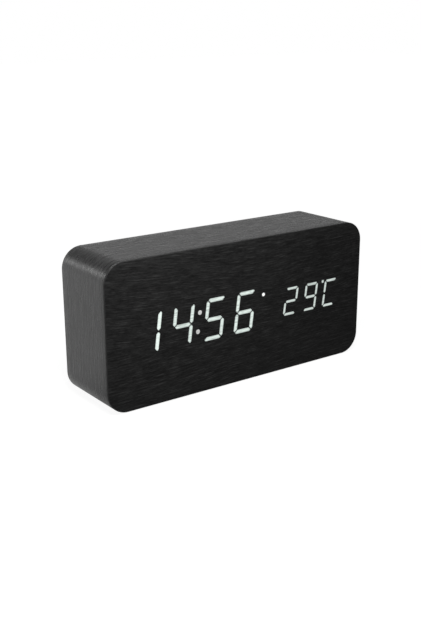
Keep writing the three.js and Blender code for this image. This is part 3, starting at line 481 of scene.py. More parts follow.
def bar_outline(digit, bar):
    """A slanted bar with mitred ends, anticlockwise seen from the front."""
    start, finish, out, corner = BARS[bar]
    half = digit["b"] / 2
    end_gap = digit["g"] / 2 * math.sqrt(2)
    reach_x, reach_z = (digit["w"] - digit["b"]) / 2, (digit["h"] - digit["b"]) / 2
    first, last = (Vector((x * reach_x, z * reach_z)) for x, z in (start, finish))
    outward = Vector(out)
    along = (last - first).normalized()

    def end_points(end, way, is_corner):
        tip = TIP_SHARE * half if is_corner else 0
        ends = ((-half - end_gap, -half), (tip - end_gap, tip), (2 * tip - half - end_gap, half))
        return [end + along * way * u + outward * v for u, v in ends]

    points = end_points(last, 1, corner[1]) + end_points(first, -1, corner[0])[::-1]
    outline = [(p.x + p.y * SHEAR, p.y) for p in points]
    area = sum(a[0] * b[1] - b[0] * a[1] for a, b in zip(outline, outline[1:] + outline[:1]))
    return outline if area > 0 else outline[::-1]


def soften(outline, radius, steps=3):
    """The outline with its corners rounded to about the radius."""
    result = []
    n = len(outline)
    for i, here in enumerate(outline):
        p = Vector(here)
        a, b = Vector(outline[i - 1]) - p, Vector(outline[(i + 1) % n]) - p
        reach = min(radius, a.length / 2.2, b.length / 2.2)
        start, end = p + a.normalized() * reach, p + b.normalized() * reach
        for step in range(steps + 1):
            t = step / steps
            q = start * (1 - t) ** 2 + p * 2 * t * (1 - t) + end * t**2
            result.append((q.x, q.y))
    return result


def dot_outline(radius, x, z, sides=32):
    return arc(x, z, radius, radius, [2 * math.pi / sides * i for i in range(sides)])


def digit_light(node, digit, character, x, rise=0.0):
    """A character's node, its place along the front and the outlines of its lit bars."""
    shapes = [soften(bar_outline(digit, bar), BAR_ROUNDING) for bar in LIT[character]]
    return node, x, [[(along, z + rise) for along, z in shape] for shape in shapes]


COLON_STEP = 0.06 * WIDTH / 2
COLON_RADIUS = 0.0073 * WIDTH
LIGHTS = [
    digit_light("hour_tens_light", TIME, "1", TIME_X[0]),
    digit_light("hour_units_light", TIME, "4", TIME_X[1]),
    (
        "colon_light",
        COLON_X * WIDTH,
        [dot_outline(COLON_RADIUS, z * SHEAR, z) for z in (COLON_STEP, -COLON_STEP)],
    ),
    digit_light("minute_tens_light", TIME, "5", TIME_X[2]),
    digit_light("minute_units_light", TIME, "6", TIME_X[3]),
    ("alarm_dot_light", TIME_X[3], [dot_outline(0.0059 * WIDTH, 0.0747 * WIDTH, 0.0437 * WIDTH)]),
    digit_light("temperature_tens_light", TEMPERATURE, "2", TEMPERATURE_X[0], TEMPERATURE_RISE),
    digit_light("temperature_units_light", TEMPERATURE, "9", TEMPERATURE_X[1], TEMPERATURE_RISE),
    (
        "degree_dot_light",
        TEMPERATURE_X[2],
        [dot_outline(0.005 * WIDTH, -0.0313 * WIDTH, 0.043 * WIDTH + TEMPERATURE_RISE)],
    ),
    digit_light("celsius_light", TEMPERATURE, "C", TEMPERATURE_X[2], TEMPERATURE_RISE),
]


# A bar's spine stops this many half widths short of its ends
SPINE_TRIM = 1.2
# Sizes of the rings between a bar's rim and its middle, as shares of its outline
CORE_RINGS = (1.0, 0.7, 0.35)


def middle_line(outline):
    """The two ends of a bar's middle line. They fall together for a dot."""
    points = [Vector(p) for p in outline]
    middle = sum(points, Vector((0, 0))) / len(points)
    far = max(points, key=lambda p: (p - middle).length)
    along = (far - middle).normalized()
    length = max((p - middle).dot(along) for p in points)
    side = max(abs((p - middle).cross(along)) for p in points)
    reach = along * max(0.0, length - SPINE_TRIM * side)
    return middle - reach, middle + reach


def light_piece(node, x, shapes):
    """The lit bars of one character, flush with the film and as thick as it.

    The core attribute grows from 0 at a bar's rim towards its middle.
    """
    build, core = Builder(), []
    for shape in shapes:
        start, end = middle_line(shape)
        span = end - start

        def inner(point, share):
            p = Vector(point)
            along = (p - start).dot(span) / span.length_squared if span.length > 0.01 else 0
            spine = start + span * min(max(along, 0), 1)
            return tuple(spine + (p - spine) * share)

        rings = []
        for share in CORE_RINGS:
            placed = [(px + x, FRONT_Y, pz + MID_Z) for px, pz in (inner(p, share) for p in shape)]
            rings.append(build.ring(placed))
            core += [1 - share] * len(placed)
        placed = [(px + x, pz + MID_Z) for px, pz in shape]
        rings.append(build.ring([(px, CASE_FRONT_Y, pz) for px, pz in placed]))
        core += [0.0] * len(placed)
        front, ring, middle, back = rings
        for a, b in ((front, ring), (ring, middle)):
            for i in range(len(a)):
                j = (i + 1) % len(a)
                build.flat_face([a[i], a[j], b[j], b[i]])
        build.bridge(back, front, arc_lengths(placed), 0, FILM)
        build.cap([middle])
        build.cap([back], flip=True)
    made = build.build(node.replace("_light", "_glow"), smooth=False)
    made.data.attributes.new("core", "FLOAT", "POINT").data.foreach_set("value", core)
    return made


# Materials
class Nodes:
    """Short calls for building the nodes of a material or a world."""

    def __init__(self, owner):
        owner.use_nodes = True
        self.owner, self.tree = owner, owner.node_tree

    def add(self, kind, inputs=None, **settings):
        node = self.tree.nodes.new(kind)
        for key, value in settings.items():
            setattr(node, key, value)
        for key, value in (inputs or {}).items():
            self.put(node.inputs[key], value)
        return node

    def put(self, socket, value):
        if isinstance(value, bpy.types.NodeSocket):
            self.tree.links.new(value, socket)
        else:
            socket.default_value = value

    def math(self, operation, a, b=0.0, c=0.0):
        return self.add("ShaderNodeMath", {0: a, 1: b, 2: c}, operation=operation).outputs[0]

    def remap(self, value, low, high, to_low=0.0, to_high=1.0, interpolation="LINEAR"):
        spans = {"From Min": low, "From Max": high, "To Min": to_low, "To Max": to_high}
        inputs = {"Value": value, **spans}
        node = self.add("ShaderNodeMapRange", inputs, interpolation_type=interpolation)
        return node.outputs["Result"]

    def noise(self, vector, scale, detail, roughness=0.55):
        inputs = {"Vector": vector, "Scale": scale, "Detail": detail, "Roughness": roughness}
        return self.add("ShaderNodeTexNoise", inputs).outputs["Fac"]

    def stretch(self, vector, scale):
        return self.add("ShaderNodeMapping", {"Vector": vector, "Scale": scale}).outputs["Vector"]

    def color_mix(self, factor, low, high):
        """A mix of two colours, each an (r, g, b) or another node's output."""
        ends = [c if isinstance(c, bpy.types.NodeSocket) else (*c, 1) for c in (low, high)]
        node = self.add("ShaderNodeMix", {0: factor, 6: ends[0], 7: ends[1]}, data_type="RGBA")
        return node.outputs[2]

    def edge(self, radius, uneven):
        """A normal eased over edges, and an uneven mask of where the edges have worn."""
        eased = self.add("ShaderNodeBevel", {"Radius": radius}, samples=6).outputs["Normal"]
        flat = self.add("ShaderNodeNewGeometry").outputs["Normal"]
        facing = self.add("ShaderNodeVectorMath", {0: eased, 1: flat}, operation="DOT_PRODUCT")
        worn = self.remap(facing.outputs["Value"], 0.98, 0.8)
        return eased, self.math("MULTIPLY", worn, self.remap(uneven, 0.35, 0.6, 0.1, 0.8))

    def bump(self, height, distance, strength=1.0, normal=None):
        inputs = {"Height": height, "Distance": distance, "Strength": strength}
        if normal is not None:
            inputs["Normal"] = normal
        return self.add("ShaderNodeBump", inputs).outputs["Normal"]

    def set(self, **values):
        """Sets the shader's sockets, each by its name in lower case, and returns the material."""
        for socket in self.tree.nodes["Principled BSDF"].inputs:
            key = socket.name.lower().replace(" ", "_")
            if key in values:
                self.put(socket, values[key])
        return self.owner


def grain(nodes, fan, fineness=1.0, length=1.0):
    """Wood-grain signals from the grain UV, which is in millimetres: pores, streaks, bands, lines.

    fan is the grain's lean at height 0, its change per millimetre up, and the change of that per
    millimetre to the right.
    """
    uv = nodes.add("ShaderNodeUVMap", uv_map="grain").outputs["UV"]
    parts = nodes.add("ShaderNodeSeparateXYZ", {0: uv})
    u, v = parts.outputs[0], parts.outputs[1]
    drift = nodes.noise(nodes.stretch(uv, (0.012, 0.03, 1.0)), 1.0, 2.0)
    spread = nodes.math("MULTIPLY_ADD", u, fan[2], fan[1])
    lean = nodes.math("MULTIPLY", u, nodes.math("MULTIPLY_ADD", v, spread, fan[0]))
    wavy = nodes.math("ADD", nodes.math("MULTIPLY_ADD", drift, 6.0, v), lean)
    across = nodes.math("MULTIPLY", wavy, fineness)
    along = nodes.math("MULTIPLY", u, length)
    along = nodes.add("ShaderNodeCombineXYZ", {0: along, 1: across}).outputs[0]
    pores = nodes.noise(nodes.stretch(along, (0.35, 2.8, 1.0)), 1.0, 2.0, 0.55)
    streaks = nodes.noise(nodes.stretch(along, (0.1, 1.25, 1.0)), 1.0, 3.0, 0.55)
    bands = nodes.noise(nodes.stretch(along, (0.02, 0.2, 1.0)), 1.0, 2.0, 0.5)
    lines = nodes.noise(nodes.stretch(along, (0.07, 1.9, 1.0)), 1.0, 1.0, 0.5)
    return pores, streaks, bands, lines


def film_material(
    name, dark, light, specular, rough, relief, fan=(0.0, 0.0, 0.0), fineness=1.0, length=1.0
):
    """Black film with a pressed wood grain: fine pores, light streaks and a few dark lines."""
    nodes = Nodes(bpy.data.materials.new(name))
    pores, streaks, bands, lines = grain(nodes, fan, fineness, length)
    pattern = nodes.math("MULTIPLY_ADD", streaks, 0.4, nodes.math("MULTIPLY", pores, 0.35))
    pattern = nodes.math("MULTIPLY_ADD", bands, 0.15, pattern)
    tone = nodes.math("POWER", nodes.remap(pattern, 0.313, 0.653), 1.3)
    bright = nodes.remap(lines, 0.58, 0.7, 0.0, 0.6)
    dull = nodes.remap(lines, 0.3, 0.4, 0.3, 1.0)
    tone = nodes.math("MULTIPLY", nodes.math("ADD", tone, bright), dull)
    height = nodes.math("MULTIPLY_ADD", pores, 0.5, nodes.math("MULTIPLY", streaks, 0.5))
    height = nodes.math("MULTIPLY_ADD", lines, 0.5, height)
    return nodes.set(
        base_color=nodes.color_mix(tone, dark, light),
        roughness=nodes.remap(streaks, 0.35, 0.65, *rough),
        specular_ior_level=specular,
        normal=nodes.bump(height, relief, 1.0),
    )


def glow_material(name, color, strength, depth, rim):
    """Light that shines through the film, mottled by its grain and dimmer towards a bar's rim."""
    nodes = Nodes(bpy.data.materials.new(name))
    pores, streaks, _, _ = grain(nodes, FRONT_FAN)
    blotch = nodes.math("MULTIPLY_ADD", pores, 0.5, nodes.math("MULTIPLY", streaks, 0.5))
    tone = nodes.remap(blotch, 0.38, 0.55)
    shade = tuple(c * depth for c in color)
    core = nodes.add("ShaderNodeAttribute", attribute_name="core").outputs["Fac"]
    strength = nodes.math("MULTIPLY", nodes.remap(core, 0.0, 0.8, rim, 1.0), strength)
    return nodes.set(
        base_color=(0.02, 0.02, 0.02, 1),
        roughness=0.6,
        specular_ior_level=0.2,
        emission_color=nodes.color_mix(tone, shade, color),
        emission_strength=strength,
        normal=nodes.bump(streaks, 0.0001, 0.3),
    )


WORN_RADIUS = 0.00012


def plain_material(
    name, low, high, roughness, scale=900.0, bump=0.00002, metallic=0.0, stretch=(1, 1, 1)
):
    """A surface with fine texture, small changes of tone and uneven gloss."""
    nodes = Nodes(bpy.data.materials.new(name))
    place = nodes.add("ShaderNodeTexCoord").outputs["Object"]
    fine = nodes.noise(nodes.stretch(place, stretch), scale, 4.0, 0.6)
    broad = nodes.noise(place, scale / 14, 3.0, 0.5)
    eased, worn = nodes.edge(WORN_RADIUS, broad)
    color = nodes.color_mix(nodes.remap(broad, 0.3, 0.7), low, high)
    rough = nodes.remap(fine, 0.3, 0.7, *roughness)
    return nodes.set(
        base_color=nodes.color_mix(worn, color, tuple(1.6 * c + 0.01 for c in high)),
        roughness=nodes.math("MULTIPLY", rough, nodes.remap(worn, 0.0, 1.0, 1.0, 0.75)),
        metallic=metallic,
        normal=nodes.bump(fine, bump, 0.6, eased),
    )


# Edges of the copper band and of the pale ring, in millimetres from a cell's minus end
COPPER_EDGE, RING_START, RING_END = (33.0, 33.15), (31.8, 31.9), (32.4, 32.5)


def label_material():
    """A cell's glossy printed wrap: dark blue, a pale ring and copper towards the plus end."""
    nodes = Nodes(bpy.data.materials.new("cell_label"))
    uv = nodes.add("ShaderNodeUVMap", uv_map="grain").outputs["UV"]
    along = nodes.add("ShaderNodeSeparateXYZ", {0: uv}).outputs[1]
    place = nodes.add("ShaderNodeTexCoord").outputs["Object"]
    scuffs = nodes.noise(nodes.stretch(place, (0.4, 1.6, 1.6)), 700.0, 4.0, 0.6)
    broad = nodes.noise(place, 60.0, 3.0, 0.5)
    blue = nodes.color_mix(broad, (0.012, 0.03, 0.08), (0.018, 0.045, 0.11))
    copper = nodes.color_mix(nodes.remap(along, *COPPER_EDGE), blue, (0.42, 0.2, 0.09))
    start, end = nodes.remap(along, *RING_START), nodes.remap(along, *RING_END, 1.0, 0.0)
    ring = nodes.math("MULTIPLY", start, end)
    return nodes.set(
        base_color=nodes.color_mix(ring, copper, (0.6, 0.6, 0.58)),
        roughness=nodes.remap(scuffs, 0.3, 0.7, 0.2, 0.27),
        metallic=nodes.remap(along, *COPPER_EDGE, 0.0, 0.75),
        normal=nodes.bump(scuffs, 0.000004, 0.4),
    )


FRONT_FAN = (-0.03, 0.0008, -0.000011)
FRONT_MATERIAL = film_material(
    "film_front",
    (0.0048,) * 3,
    (0.0315,) * 3,
    specular=0.07,
    rough=(0.5, 0.66),
    relief=0.0001,
    fan=FRONT_FAN,
    fineness=1.3,
    length=1.6,
)
WRAP_MATERIAL = film_material(
    "film_wrap",
    (0.008,) * 3,
    (0.031,) * 3,
    specular=0.38,
    rough=(0.238, 0.385),
    relief=0.00019,
    fineness=0.85,
)
# A material darker than the film, for the sheets' rounded rims: painted shade along their edges.
FILM_EDGE_SHADE = plain_material("film_core", (0.002,) * 3, (0.004,) * 3, (0.6, 0.75))
LIT_WHITE = (0.79, 0.89, 0.84)
GLOW_BRIGHT = glow_material("glow_bright", LIT_WHITE, 1.18, 0.8, 0.75)
GLOW_LARGE = glow_material("glow_large", LIT_WHITE, 1.1, 0.6, 0.6)
GLOW_SMALL = glow_material("glow_small", (0.7, 0.78, 0.74), 1.0, 0.66, 0.7)
GLOW_COLON = glow_material("glow_colon", (0.7, 0.7, 0.69), 1.0, 0.7, 0.8)
GLOW_ALARM = glow_material("glow_alarm", (0.98, 0.98, 0.98), 1.1, 0.8, 0.9)

PLAIN_LOOKS = {
    "fibreboard": ((0.2, 0.12, 0.06), (0.28, 0.18, 0.1), (0.8, 0.95)),
    "black_plastic": ((0.008,) * 3, (0.012,) * 3, (0.42, 0.6), 2500.0, 0.00005),
    "rubber": ((0.006,) * 3, (0.011,) * 3, (0.75, 0.9)),
    "circuit_board": ((0.01, 0.07, 0.025), (0.015, 0.1, 0.04), (0.3, 0.45)),
    "steel": ((0.45, 0.46, 0.48), (0.55, 0.56, 0.58), (0.25, 0.4), 700.0, 0.00001, 1.0, (1, 4, 1)),
    "cream_plastic": ((0.66, 0.6, 0.46), (0.74, 0.69, 0.56), (0.4, 0.55)),
    "ribbon": ((0.28, 0.29, 0.31), (0.36, 0.37, 0.39), (0.45, 0.6)),
    "chip": ((0.01, 0.01, 0.011), (0.016, 0.016, 0.017), (0.4, 0.55)),
    "sensor_bead": ((0.04, 0.02, 0.01), (0.06, 0.03, 0.015), (0.2, 0.3)),
    "red_wire": ((0.33, 0.015, 0.012), (0.42, 0.02, 0.018), (0.4, 0.5)),
}
SLOT_MATERIALS = {name: plain_material(name, *look) for name, look in PLAIN_LOOKS.items()}
SLOT_MATERIALS["film"] = WRAP_MATERIAL
SLOT_MATERIALS["lit_diffuser"] = GLOW_LARGE
SLOT_MATERIALS["cell_wrap"] = label_material()


def dress(obj, material):
    obj.data.materials.clear()
    obj.data.materials.append(material)


def add_piece(obj, slot, *nodes, body="clock", material=None):
    """Gives a new piece a finish, the body that it rides on and the CAD nodes it stands for."""
    dress(obj, material or SLOT_MATERIALS[slot])
    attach(obj, body)
    if nodes:
        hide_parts(*nodes)


# Carried-over CAD nodes
node_slots = {entry["node"]: entry["material_slot"] for entry in frame["record"]["subparts"]}
for node, obj in frame["nodes"].items():
    dress(obj, SLOT_MATERIALS[node_slots[node]])

# Film and display
windows = [
    [(px + x, pz + MID_Z) for px, pz in shape][::-1] for _, x, shapes in LIGHTS for shape in shapes
]
dress_sheet(*film_sheet("front_sheet", FRONT_Y, 1, windows), "front_film", FRONT_MATERIAL)

wrap = perimeter_film()
smooth_by_angle(wrap, 60)
add_piece(wrap, "film", "perimeter_film")

rebate = [(x, z + MID_Z) for x, z in rounded_outline(*REBATE)]
dress_sheet(*film_sheet("rear_sheet", BACK_Y, -1, [rebate]), "rear_film", WRAP_MATERIAL)


# Rear cover and battery door
PLATE_HOLE = (COVER_INNER_Y - 1, COVER_OUTER_Y + 1)


def slot_cut(width, height, x, z):
    outline = rounded_outline(width, height, SLOT_WIDTH / 2, SLOT_STEPS, x, z)
    return prism("slot", outline, *PLATE_HOLE)


def rear_cover():
    """The cover's plate with its battery bay, bosses and openings."""
    left, right = BAY_X
    width, height, radius = (size - 2 * COVER_GAP for size in REBATE)
    outline = rounded_outline(width, height, radius + COVER_GAP)
    plate = prism("back_cover", outline, COVER_INNER_Y, COVER_OUTER_Y)
    solids = [
        block(
            "bay",
            (left - BAY_WALL, BAY_FLOOR_Y - BAY_WALL, -BAY_HALF_HEIGHT - BAY_WALL),
            (right + BAY_WALL, COVER_INNER_Y + 1, BAY_HALF_HEIGHT + BAY_WALL),
        )
    ]
    for x, z in BOSSES:
        solids.append(round_bar("boss", BOSS_RADIUS, BOARD_BACK_Y, COVER_INNER_Y + 1, x, z))
    combine(plate, solids, "UNION")
    low, high = (left, BAY_FLOOR_Y, -BAY_HALF_HEIGHT), (right, COVER_OUTER_Y + 1, BAY_HALF_HEIGHT)
    combine(plate, [block("bay_room", low, high)], "DIFFERENCE")
    ribs = [
        block(
            "rib",
            (left + SPRING_ROOM, BAY_FLOOR_Y - BAY_WALL / 2, z - RIB_WIDTH / 2),
            (right - SPRING_ROOM, BAY_FLOOR_Y + RIB_HEIGHT, z + RIB_WIDTH / 2),
        )
        for z in (-CELL_PITCH / 2, CELL_PITCH / 2)
    ]
    combine(plate, ribs, "UNION")
    width, height = right - left + 2 * DOOR_LEDGE, 2 * (BAY_HALF_HEIGHT + DOOR_LEDGE)
    recess = rounded_outline(width, height, DOOR_CORNER, x=(left + right) / 2)
    cuts = [prism("recess", recess, DOOR_INNER_Y - 0.05, COVER_OUTER_Y + 1)]
    cuts.append(round_bar("jack_hole", JACK_HOLE, *PLATE_HOLE, JACK_X, SMALL_Z))
    notch = (COVER_OUTER_Y - NAIL_DEPTH, PLATE_HOLE[1], left - DOOR_LEDGE, 0)
    cuts.append(round_bar("notch", NAIL_NOTCH, *notch))
    cuts.append(round_bar("microphone_hole", MICROPHONE_HOLE, *PLATE_HOLE, *MICROPHONE))
    for x in BUTTONS.values():
        cuts.append(round_bar("button_hole", BUTTON_HOLE, *PLATE_HOLE, x, SMALL_Z))
    for step in range(-2, 3):
        dx = step * SLOT_PITCH
        length = 2 * math.sqrt(SOUND_RADIUS**2 - dx**2)
        cuts.append(slot_cut(SLOT_WIDTH, length, BUZZER[0] + dx, BUZZER[1]))
    for step in (-1.5, -0.5, 0.5, 1.5):
        cuts.append(slot_cut(VENT_LENGTH, SLOT_WIDTH, VENT[0], VENT[1] + step * SLOT_PITCH))
    for x, z in COVER_SCREWS:
        cuts.append(round_bar("screw_hole", SCREW_SHAFT_HOLE, *PLATE_HOLE, x, z))
        cuts.append(round_bar("screw_seat", SCREW_HEAD, SCREW_SEAT_Y, PLATE_HOLE[1], x, z))
    for x, z in BOSSES:
        cuts.append(round_bar("boss_hole", BOSS_HOLE, BOARD_BACK_Y - 1, COVER_INNER_Y, x, z))
    lip_y = DOOR_INNER_Y + HOOK_THICK + DOOR_GAP / 2
    for z in (-HOOK_Z, HOOK_Z):
        cuts.append(
            block(
                "hook_pocket",
                (right - 1, COVER_INNER_Y - 0.7, z - HOOK_WIDTH / 2 - DOOR_GAP),
                (right + DOOR_LEDGE + HOOK_LENGTH + 0.3, lip_y, z + HOOK_WIDTH / 2 + DOOR_GAP),
            )
        )
    for x0, x1, z in (
        (left - 2 * BAY_WALL, left + BAY_WALL, CELL_Z[2]),
        (right - BAY_WALL, right + 2 * BAY_WALL, CELL_Z[0]),
    ):
        cuts.append(cross_bar("lead_hole", LEAD_HOLE, x0, x1, LEAD_Y, z))
    combine(plate, cuts, "DIFFERENCE")
    return lift(ease_edges(plate, COVER_ROUNDING))


def battery_door():
    """The door with its two hooks, its latch tongue and three grip ribs."""
    left, right = BAY_X[0] - DOOR_LEDGE + DOOR_GAP, BAY_X[1] + DOOR_LEDGE - DOOR_GAP
    height = 2 * (BAY_HALF_HEIGHT + DOOR_LEDGE - DOOR_GAP)
    corner = DOOR_CORNER - DOOR_GAP
    outline = rounded_outline(right - left, height, corner, x=(left + right) / 2)
    plate = prism("battery_lid", outline, DOOR_INNER_Y, COVER_OUTER_Y)
    solids = [
        block(
            "hook",
            (right - 1, DOOR_INNER_Y, z - HOOK_WIDTH / 2),
            (right + HOOK_LENGTH, DOOR_INNER_Y + HOOK_THICK, z + HOOK_WIDTH / 2),
        )
        for z in (-HOOK_Z, HOOK_Z)
    ]
    for step in (-1, 0, 1):
        x = left + LATCH_LENGTH / 2 + step * GRIP_PITCH
        solids.append(
            block(
                "grip",
                (x - GRIP_PITCH / 4, COVER_OUTER_Y - GRIP_PROUD, -GRIP_HALF),
                (x + GRIP_PITCH / 4, COVER_OUTER_Y + GRIP_PROUD, GRIP_HALF),
            )
        )
    combine(plate, solids, "UNION")
    slots = [
        block(
            "latch_slot",
            (left - 1, DOOR_INNER_Y - 1, z - LATCH_SLOT / 2),
            (left + LATCH_LENGTH, COVER_OUTER_Y + 1, z + LATCH_SLOT / 2),
        )
        for z in (-(LATCH_WIDTH + LATCH_SLOT) / 2, (LATCH_WIDTH + LATCH_SLOT) / 2)
    ]
    combine(plate, slots, "DIFFERENCE")
    return lift(ease_edges(plate, DOOR_ROUNDING))


add_piece(rear_cover(), "black_plastic", "rear_cover")
add_piece(battery_door(), "black_plastic", "battery_door", body="battery_door")


# Small pieces on the back
CAP_RADIUS, CAP_ROUNDING, CAP_TOP_Y = 3.0, 0.45, 18.9
DISH_RADIUS, DISH_DEPTH, DISH_STEPS = 2.2, 0.22, 5
FLANGE_RADIUS, FLANGE_Y = 3.9, (14.75, 15.75)


def button(name, x):
    """A cap with a rounded rim and a shallow dish in its top."""
    low, high = FLANGE_Y
    profile = [(0, low), (FLANGE_RADIUS, low), (FLANGE_RADIUS, high), (CAP_RADIUS, high)]
    rim = (CAP_RADIUS - CAP_ROUNDING, CAP_TOP_Y - CAP_ROUNDING, CAP_ROUNDING, CAP_ROUNDING)
    profile += arc(*rim, (0, 0.4, 0.8, 1.2, 1.57))
    for i in range(DISH_STEPS + 1):
        depth = DISH_DEPTH * math.sin(math.pi / 2 * i / DISH_STEPS)
        profile.append((DISH_RADIUS * (1 - i / DISH_STEPS), CAP_TOP_Y - depth))
    return lift(turned(name, profile, "y", (x, 0, SMALL_Z)))


for key, x in BUTTONS.items():
    name = f"{key}_button"
    add_piece(button(f"{key}_cap", x), "black_plastic", f"{name}_cap", body=name)

SHAFT_RADIUS, SHAFT_Y, TIP_RADIUS, TIP_Y = 1.2, (9.3, 16.8), 0.9, 7.8
HEAD_RADIUS, HEAD_CHAMFER, HEAD_EDGE_Y, HEAD_DOME = 2.3, 2.2, 16.95, 0.6
RECESS_ARM, RECESS_HALF, RECESS_DEPTH = 1.38, 0.33, 0.66


def cover_screw(name, x, z):
    """A pan-headed screw with a cross recess."""
    low, high = SHAFT_Y
    top = COVER_OUTER_Y
    profile = [(0, TIP_Y), (TIP_RADIUS, low), (SHAFT_RADIUS, low), (SHAFT_RADIUS, high)]
    profile += [(HEAD_CHAMFER, high), (HEAD_RADIUS, HEAD_EDGE_Y)]
    profile += arc(0, top - HEAD_DOME, HEAD_RADIUS, HEAD_DOME, (0, 0.35, 0.7, 1.05, 1.35))
    made = turned(name, profile + [(0, top)], "y", (x, 0, z))
    slots = [
        block("slot", (x - a, top - RECESS_DEPTH, z - b), (x + a, top + 1, z + b))
        for a, b in ((RECESS_ARM, RECESS_HALF), (RECESS_HALF, RECESS_ARM))
    ]
    combine(made, slots, "DIFFERENCE")
    smooth_by_angle(made, 30)
    return lift(made)


for i, (x, z) in enumerate(COVER_SCREWS, start=1):
    add_piece(cover_screw(f"back_screw_{i}", x, z), "steel", f"cover_screw_{i}")

INLET_FACE_Y, INLET_HALF, INLET_LENGTH = 13.8, 4.0, 9.5
EAR_REACH, EAR_Y = 1.2, (10.25, 11.25)
BORE_RADIUS, BORE_DEPTH = 1.9, 8.0
SLEEVE_RADII, SLEEVE_Y, SLEEVE_TIP = (1.72, 1.9), (5.8, 13.5), (1.82, 13.6)
PIN_RADIUS, PIN_TIP, PIN_Y, PIN_SIDES = 0.65, 0.45, (5.5, 12.35, 12.8), 24
JACK_PLACE = (JACK_X, 0, SMALL_Z)


def power_inlet():
    """The socket's moulded body, bored for the plug."""
    left, right = JACK_X - INLET_HALF, JACK_X + INLET_HALF
    body = block(
        "inlet_body",
        (left, INLET_FACE_Y - INLET_LENGTH, SMALL_Z - INLET_HALF),
        (right, INLET_FACE_Y, SMALL_Z + INLET_HALF),
    )
    ears = block(
        "ears",
        (left - EAR_REACH, EAR_Y[0], SMALL_Z - INLET_HALF / 2),
        (right + EAR_REACH, EAR_Y[1], SMALL_Z + INLET_HALF / 2),
    )
    combine(body, [ears], "UNION")
    span = (INLET_FACE_Y - BORE_DEPTH, INLET_FACE_Y + 1)
    combine(body, [round_bar("bore", BORE_RADIUS, *span, JACK_X, SMALL_Z)], "DIFFERENCE")
    return lift(ease_edges(body, INLET_ROUNDING))


def inlet_sleeve():
    """The thin metal sleeve that lines the socket's bore."""
    (inner, outer), (low, high) = SLEEVE_RADII, SLEEVE_Y
    profile = [(outer, low), (outer, high), SLEEVE_TIP, (inner, high), (inner, low)]
    return lift(turned("inlet_sleeve", profile, "y", JACK_PLACE, loop=True, sides=SMALL_SIDES))


def inlet_pin():
    """The socket's centre pin with its rounded tip."""
    low, high, top = PIN_Y
    tip = arc(0, high, PIN_RADIUS, PIN_TIP, (0, 0.4, 0.8, 1.2))
    profile = [(0, low), (PIN_RADIUS, low)] + tip + [(0, top)]
    return lift(turned("inlet_pin", profile, "y", JACK_PLACE, sides=PIN_SIDES))


add_piece(power_inlet(), "black_plastic", "power_socket")
add_piece(inlet_sleeve(), "steel")
add_piece(inlet_pin(), "steel")

# Feet
FOOT_X, FOOT_Y, FOOT_RADIUS, FOOT_THICK = 60.5, 11.5, 4.5, 0.75


def foot_pad(name, x, y):
    """A rubber pad with a rounded sole."""
    r, h = FOOT_RADIUS, FOOT_THICK
    profile = [(0, 0), (r - 0.4, 0), (r - 0.12, 0.1), (r - 0.05, 0.3), (r, h - 0.02), (r, h)]
    return turned(name, profile + [(0, h)], "z", (x, y, 0))


for row, y in (("front", -FOOT_Y), ("rear", FOOT_Y)):
    for side, x in (("left", -FOOT_X), ("right", FOOT_X)):
        name = f"{row}_{side}"
        add_piece(foot_pad(f"{name}_pad", x, y), "rubber", f"{name}_foot")


# Cells and their contacts
TOP = CELL_LENGTH - 1
CAN_PROFILE = [
    *((0, 0.0), (3.8, 0.0), (4.25, 0.12), (4.5, 0.4), (4.95, 0.5)),
    *((4.95, TOP - 0.5), (4.5, TOP - 0.35), (4.25, TOP - 0.06), (3.6, TOP), (2.7, TOP - 0.08)),
    *((2.35, TOP - 0.3), (1.95, TOP - 0.2), (1.9, TOP), (1.9, TOP + 0.8), (1.72, TOP + 0.98)),
    (0, TOP + 1),
]
LABEL_PROFILE = [
    *((4.6, 0.42), (4.95, 0.1), (5.14, 0.16), (CELL_RADIUS, 0.45)),
    *((CELL_RADIUS, TOP - 0.45), (5.14, TOP - 0.16), (4.95, TOP - 0.1), (4.6, TOP - 0.42)),
]


def cell_pieces(number, z, way):
    """A cell's steel can and the printed wrap round it. way is the direction of its plus end."""
    base = BAY_X[0] + SPRING_ROOM if way > 0 else BAY_X[1] - SPRING_ROOM
    place = ("x", (base, CELL_Y, z), way)
    body = turned(f"cell_can_{number}", CAN_PROFILE, *place)
    label = turned(f"cell_label_{number}", LABEL_PROFILE, *place, loop=True)
    return lift(body), lift(label)


for number, (z, way) in enumerate(zip(CELL_Z, (1, -1, 1)), start=1):
    body, label = cell_pieces(number, z, way)
    add_piece(body, "steel")
    add_piece(label, "cell_wrap", f"cell_{number}")


CONTACT_GAP, CONTACT_THICK, CONTACT_HALF, CONTACT_ROUNDING = 0.45, 0.4, 4, 0.1
SPRING_RADII, SPRING_LENGTH, SPRING_WIRE = (3.6, 2.3), 3.07, 0.33
BUMP_PROFILE = [
    *((0, -0.3), (1.6, -0.3), (1.6, 0.05), (1.48, 0.28), (1.2, 0.46), (0.7, 0.57), (0, 0.6)),
]


def spring_points(face_x, way, z, turns=3, steps=32):
    """The centre line of a conical spring that stands on a contact plate."""
    wide, narrow = SPRING_RADII
    points = []
    for i in range(turns * steps + 1):
        share = i / (turns * steps)
        angle = 2 * math.pi * turns * share
        radius = wide + (narrow - wide) * share
        x = face_x + way * share * SPRING_LENGTH
        points.append((x, CELL_Y + way * radius * math.cos(angle), z + radius * math.sin(angle)))
    return points


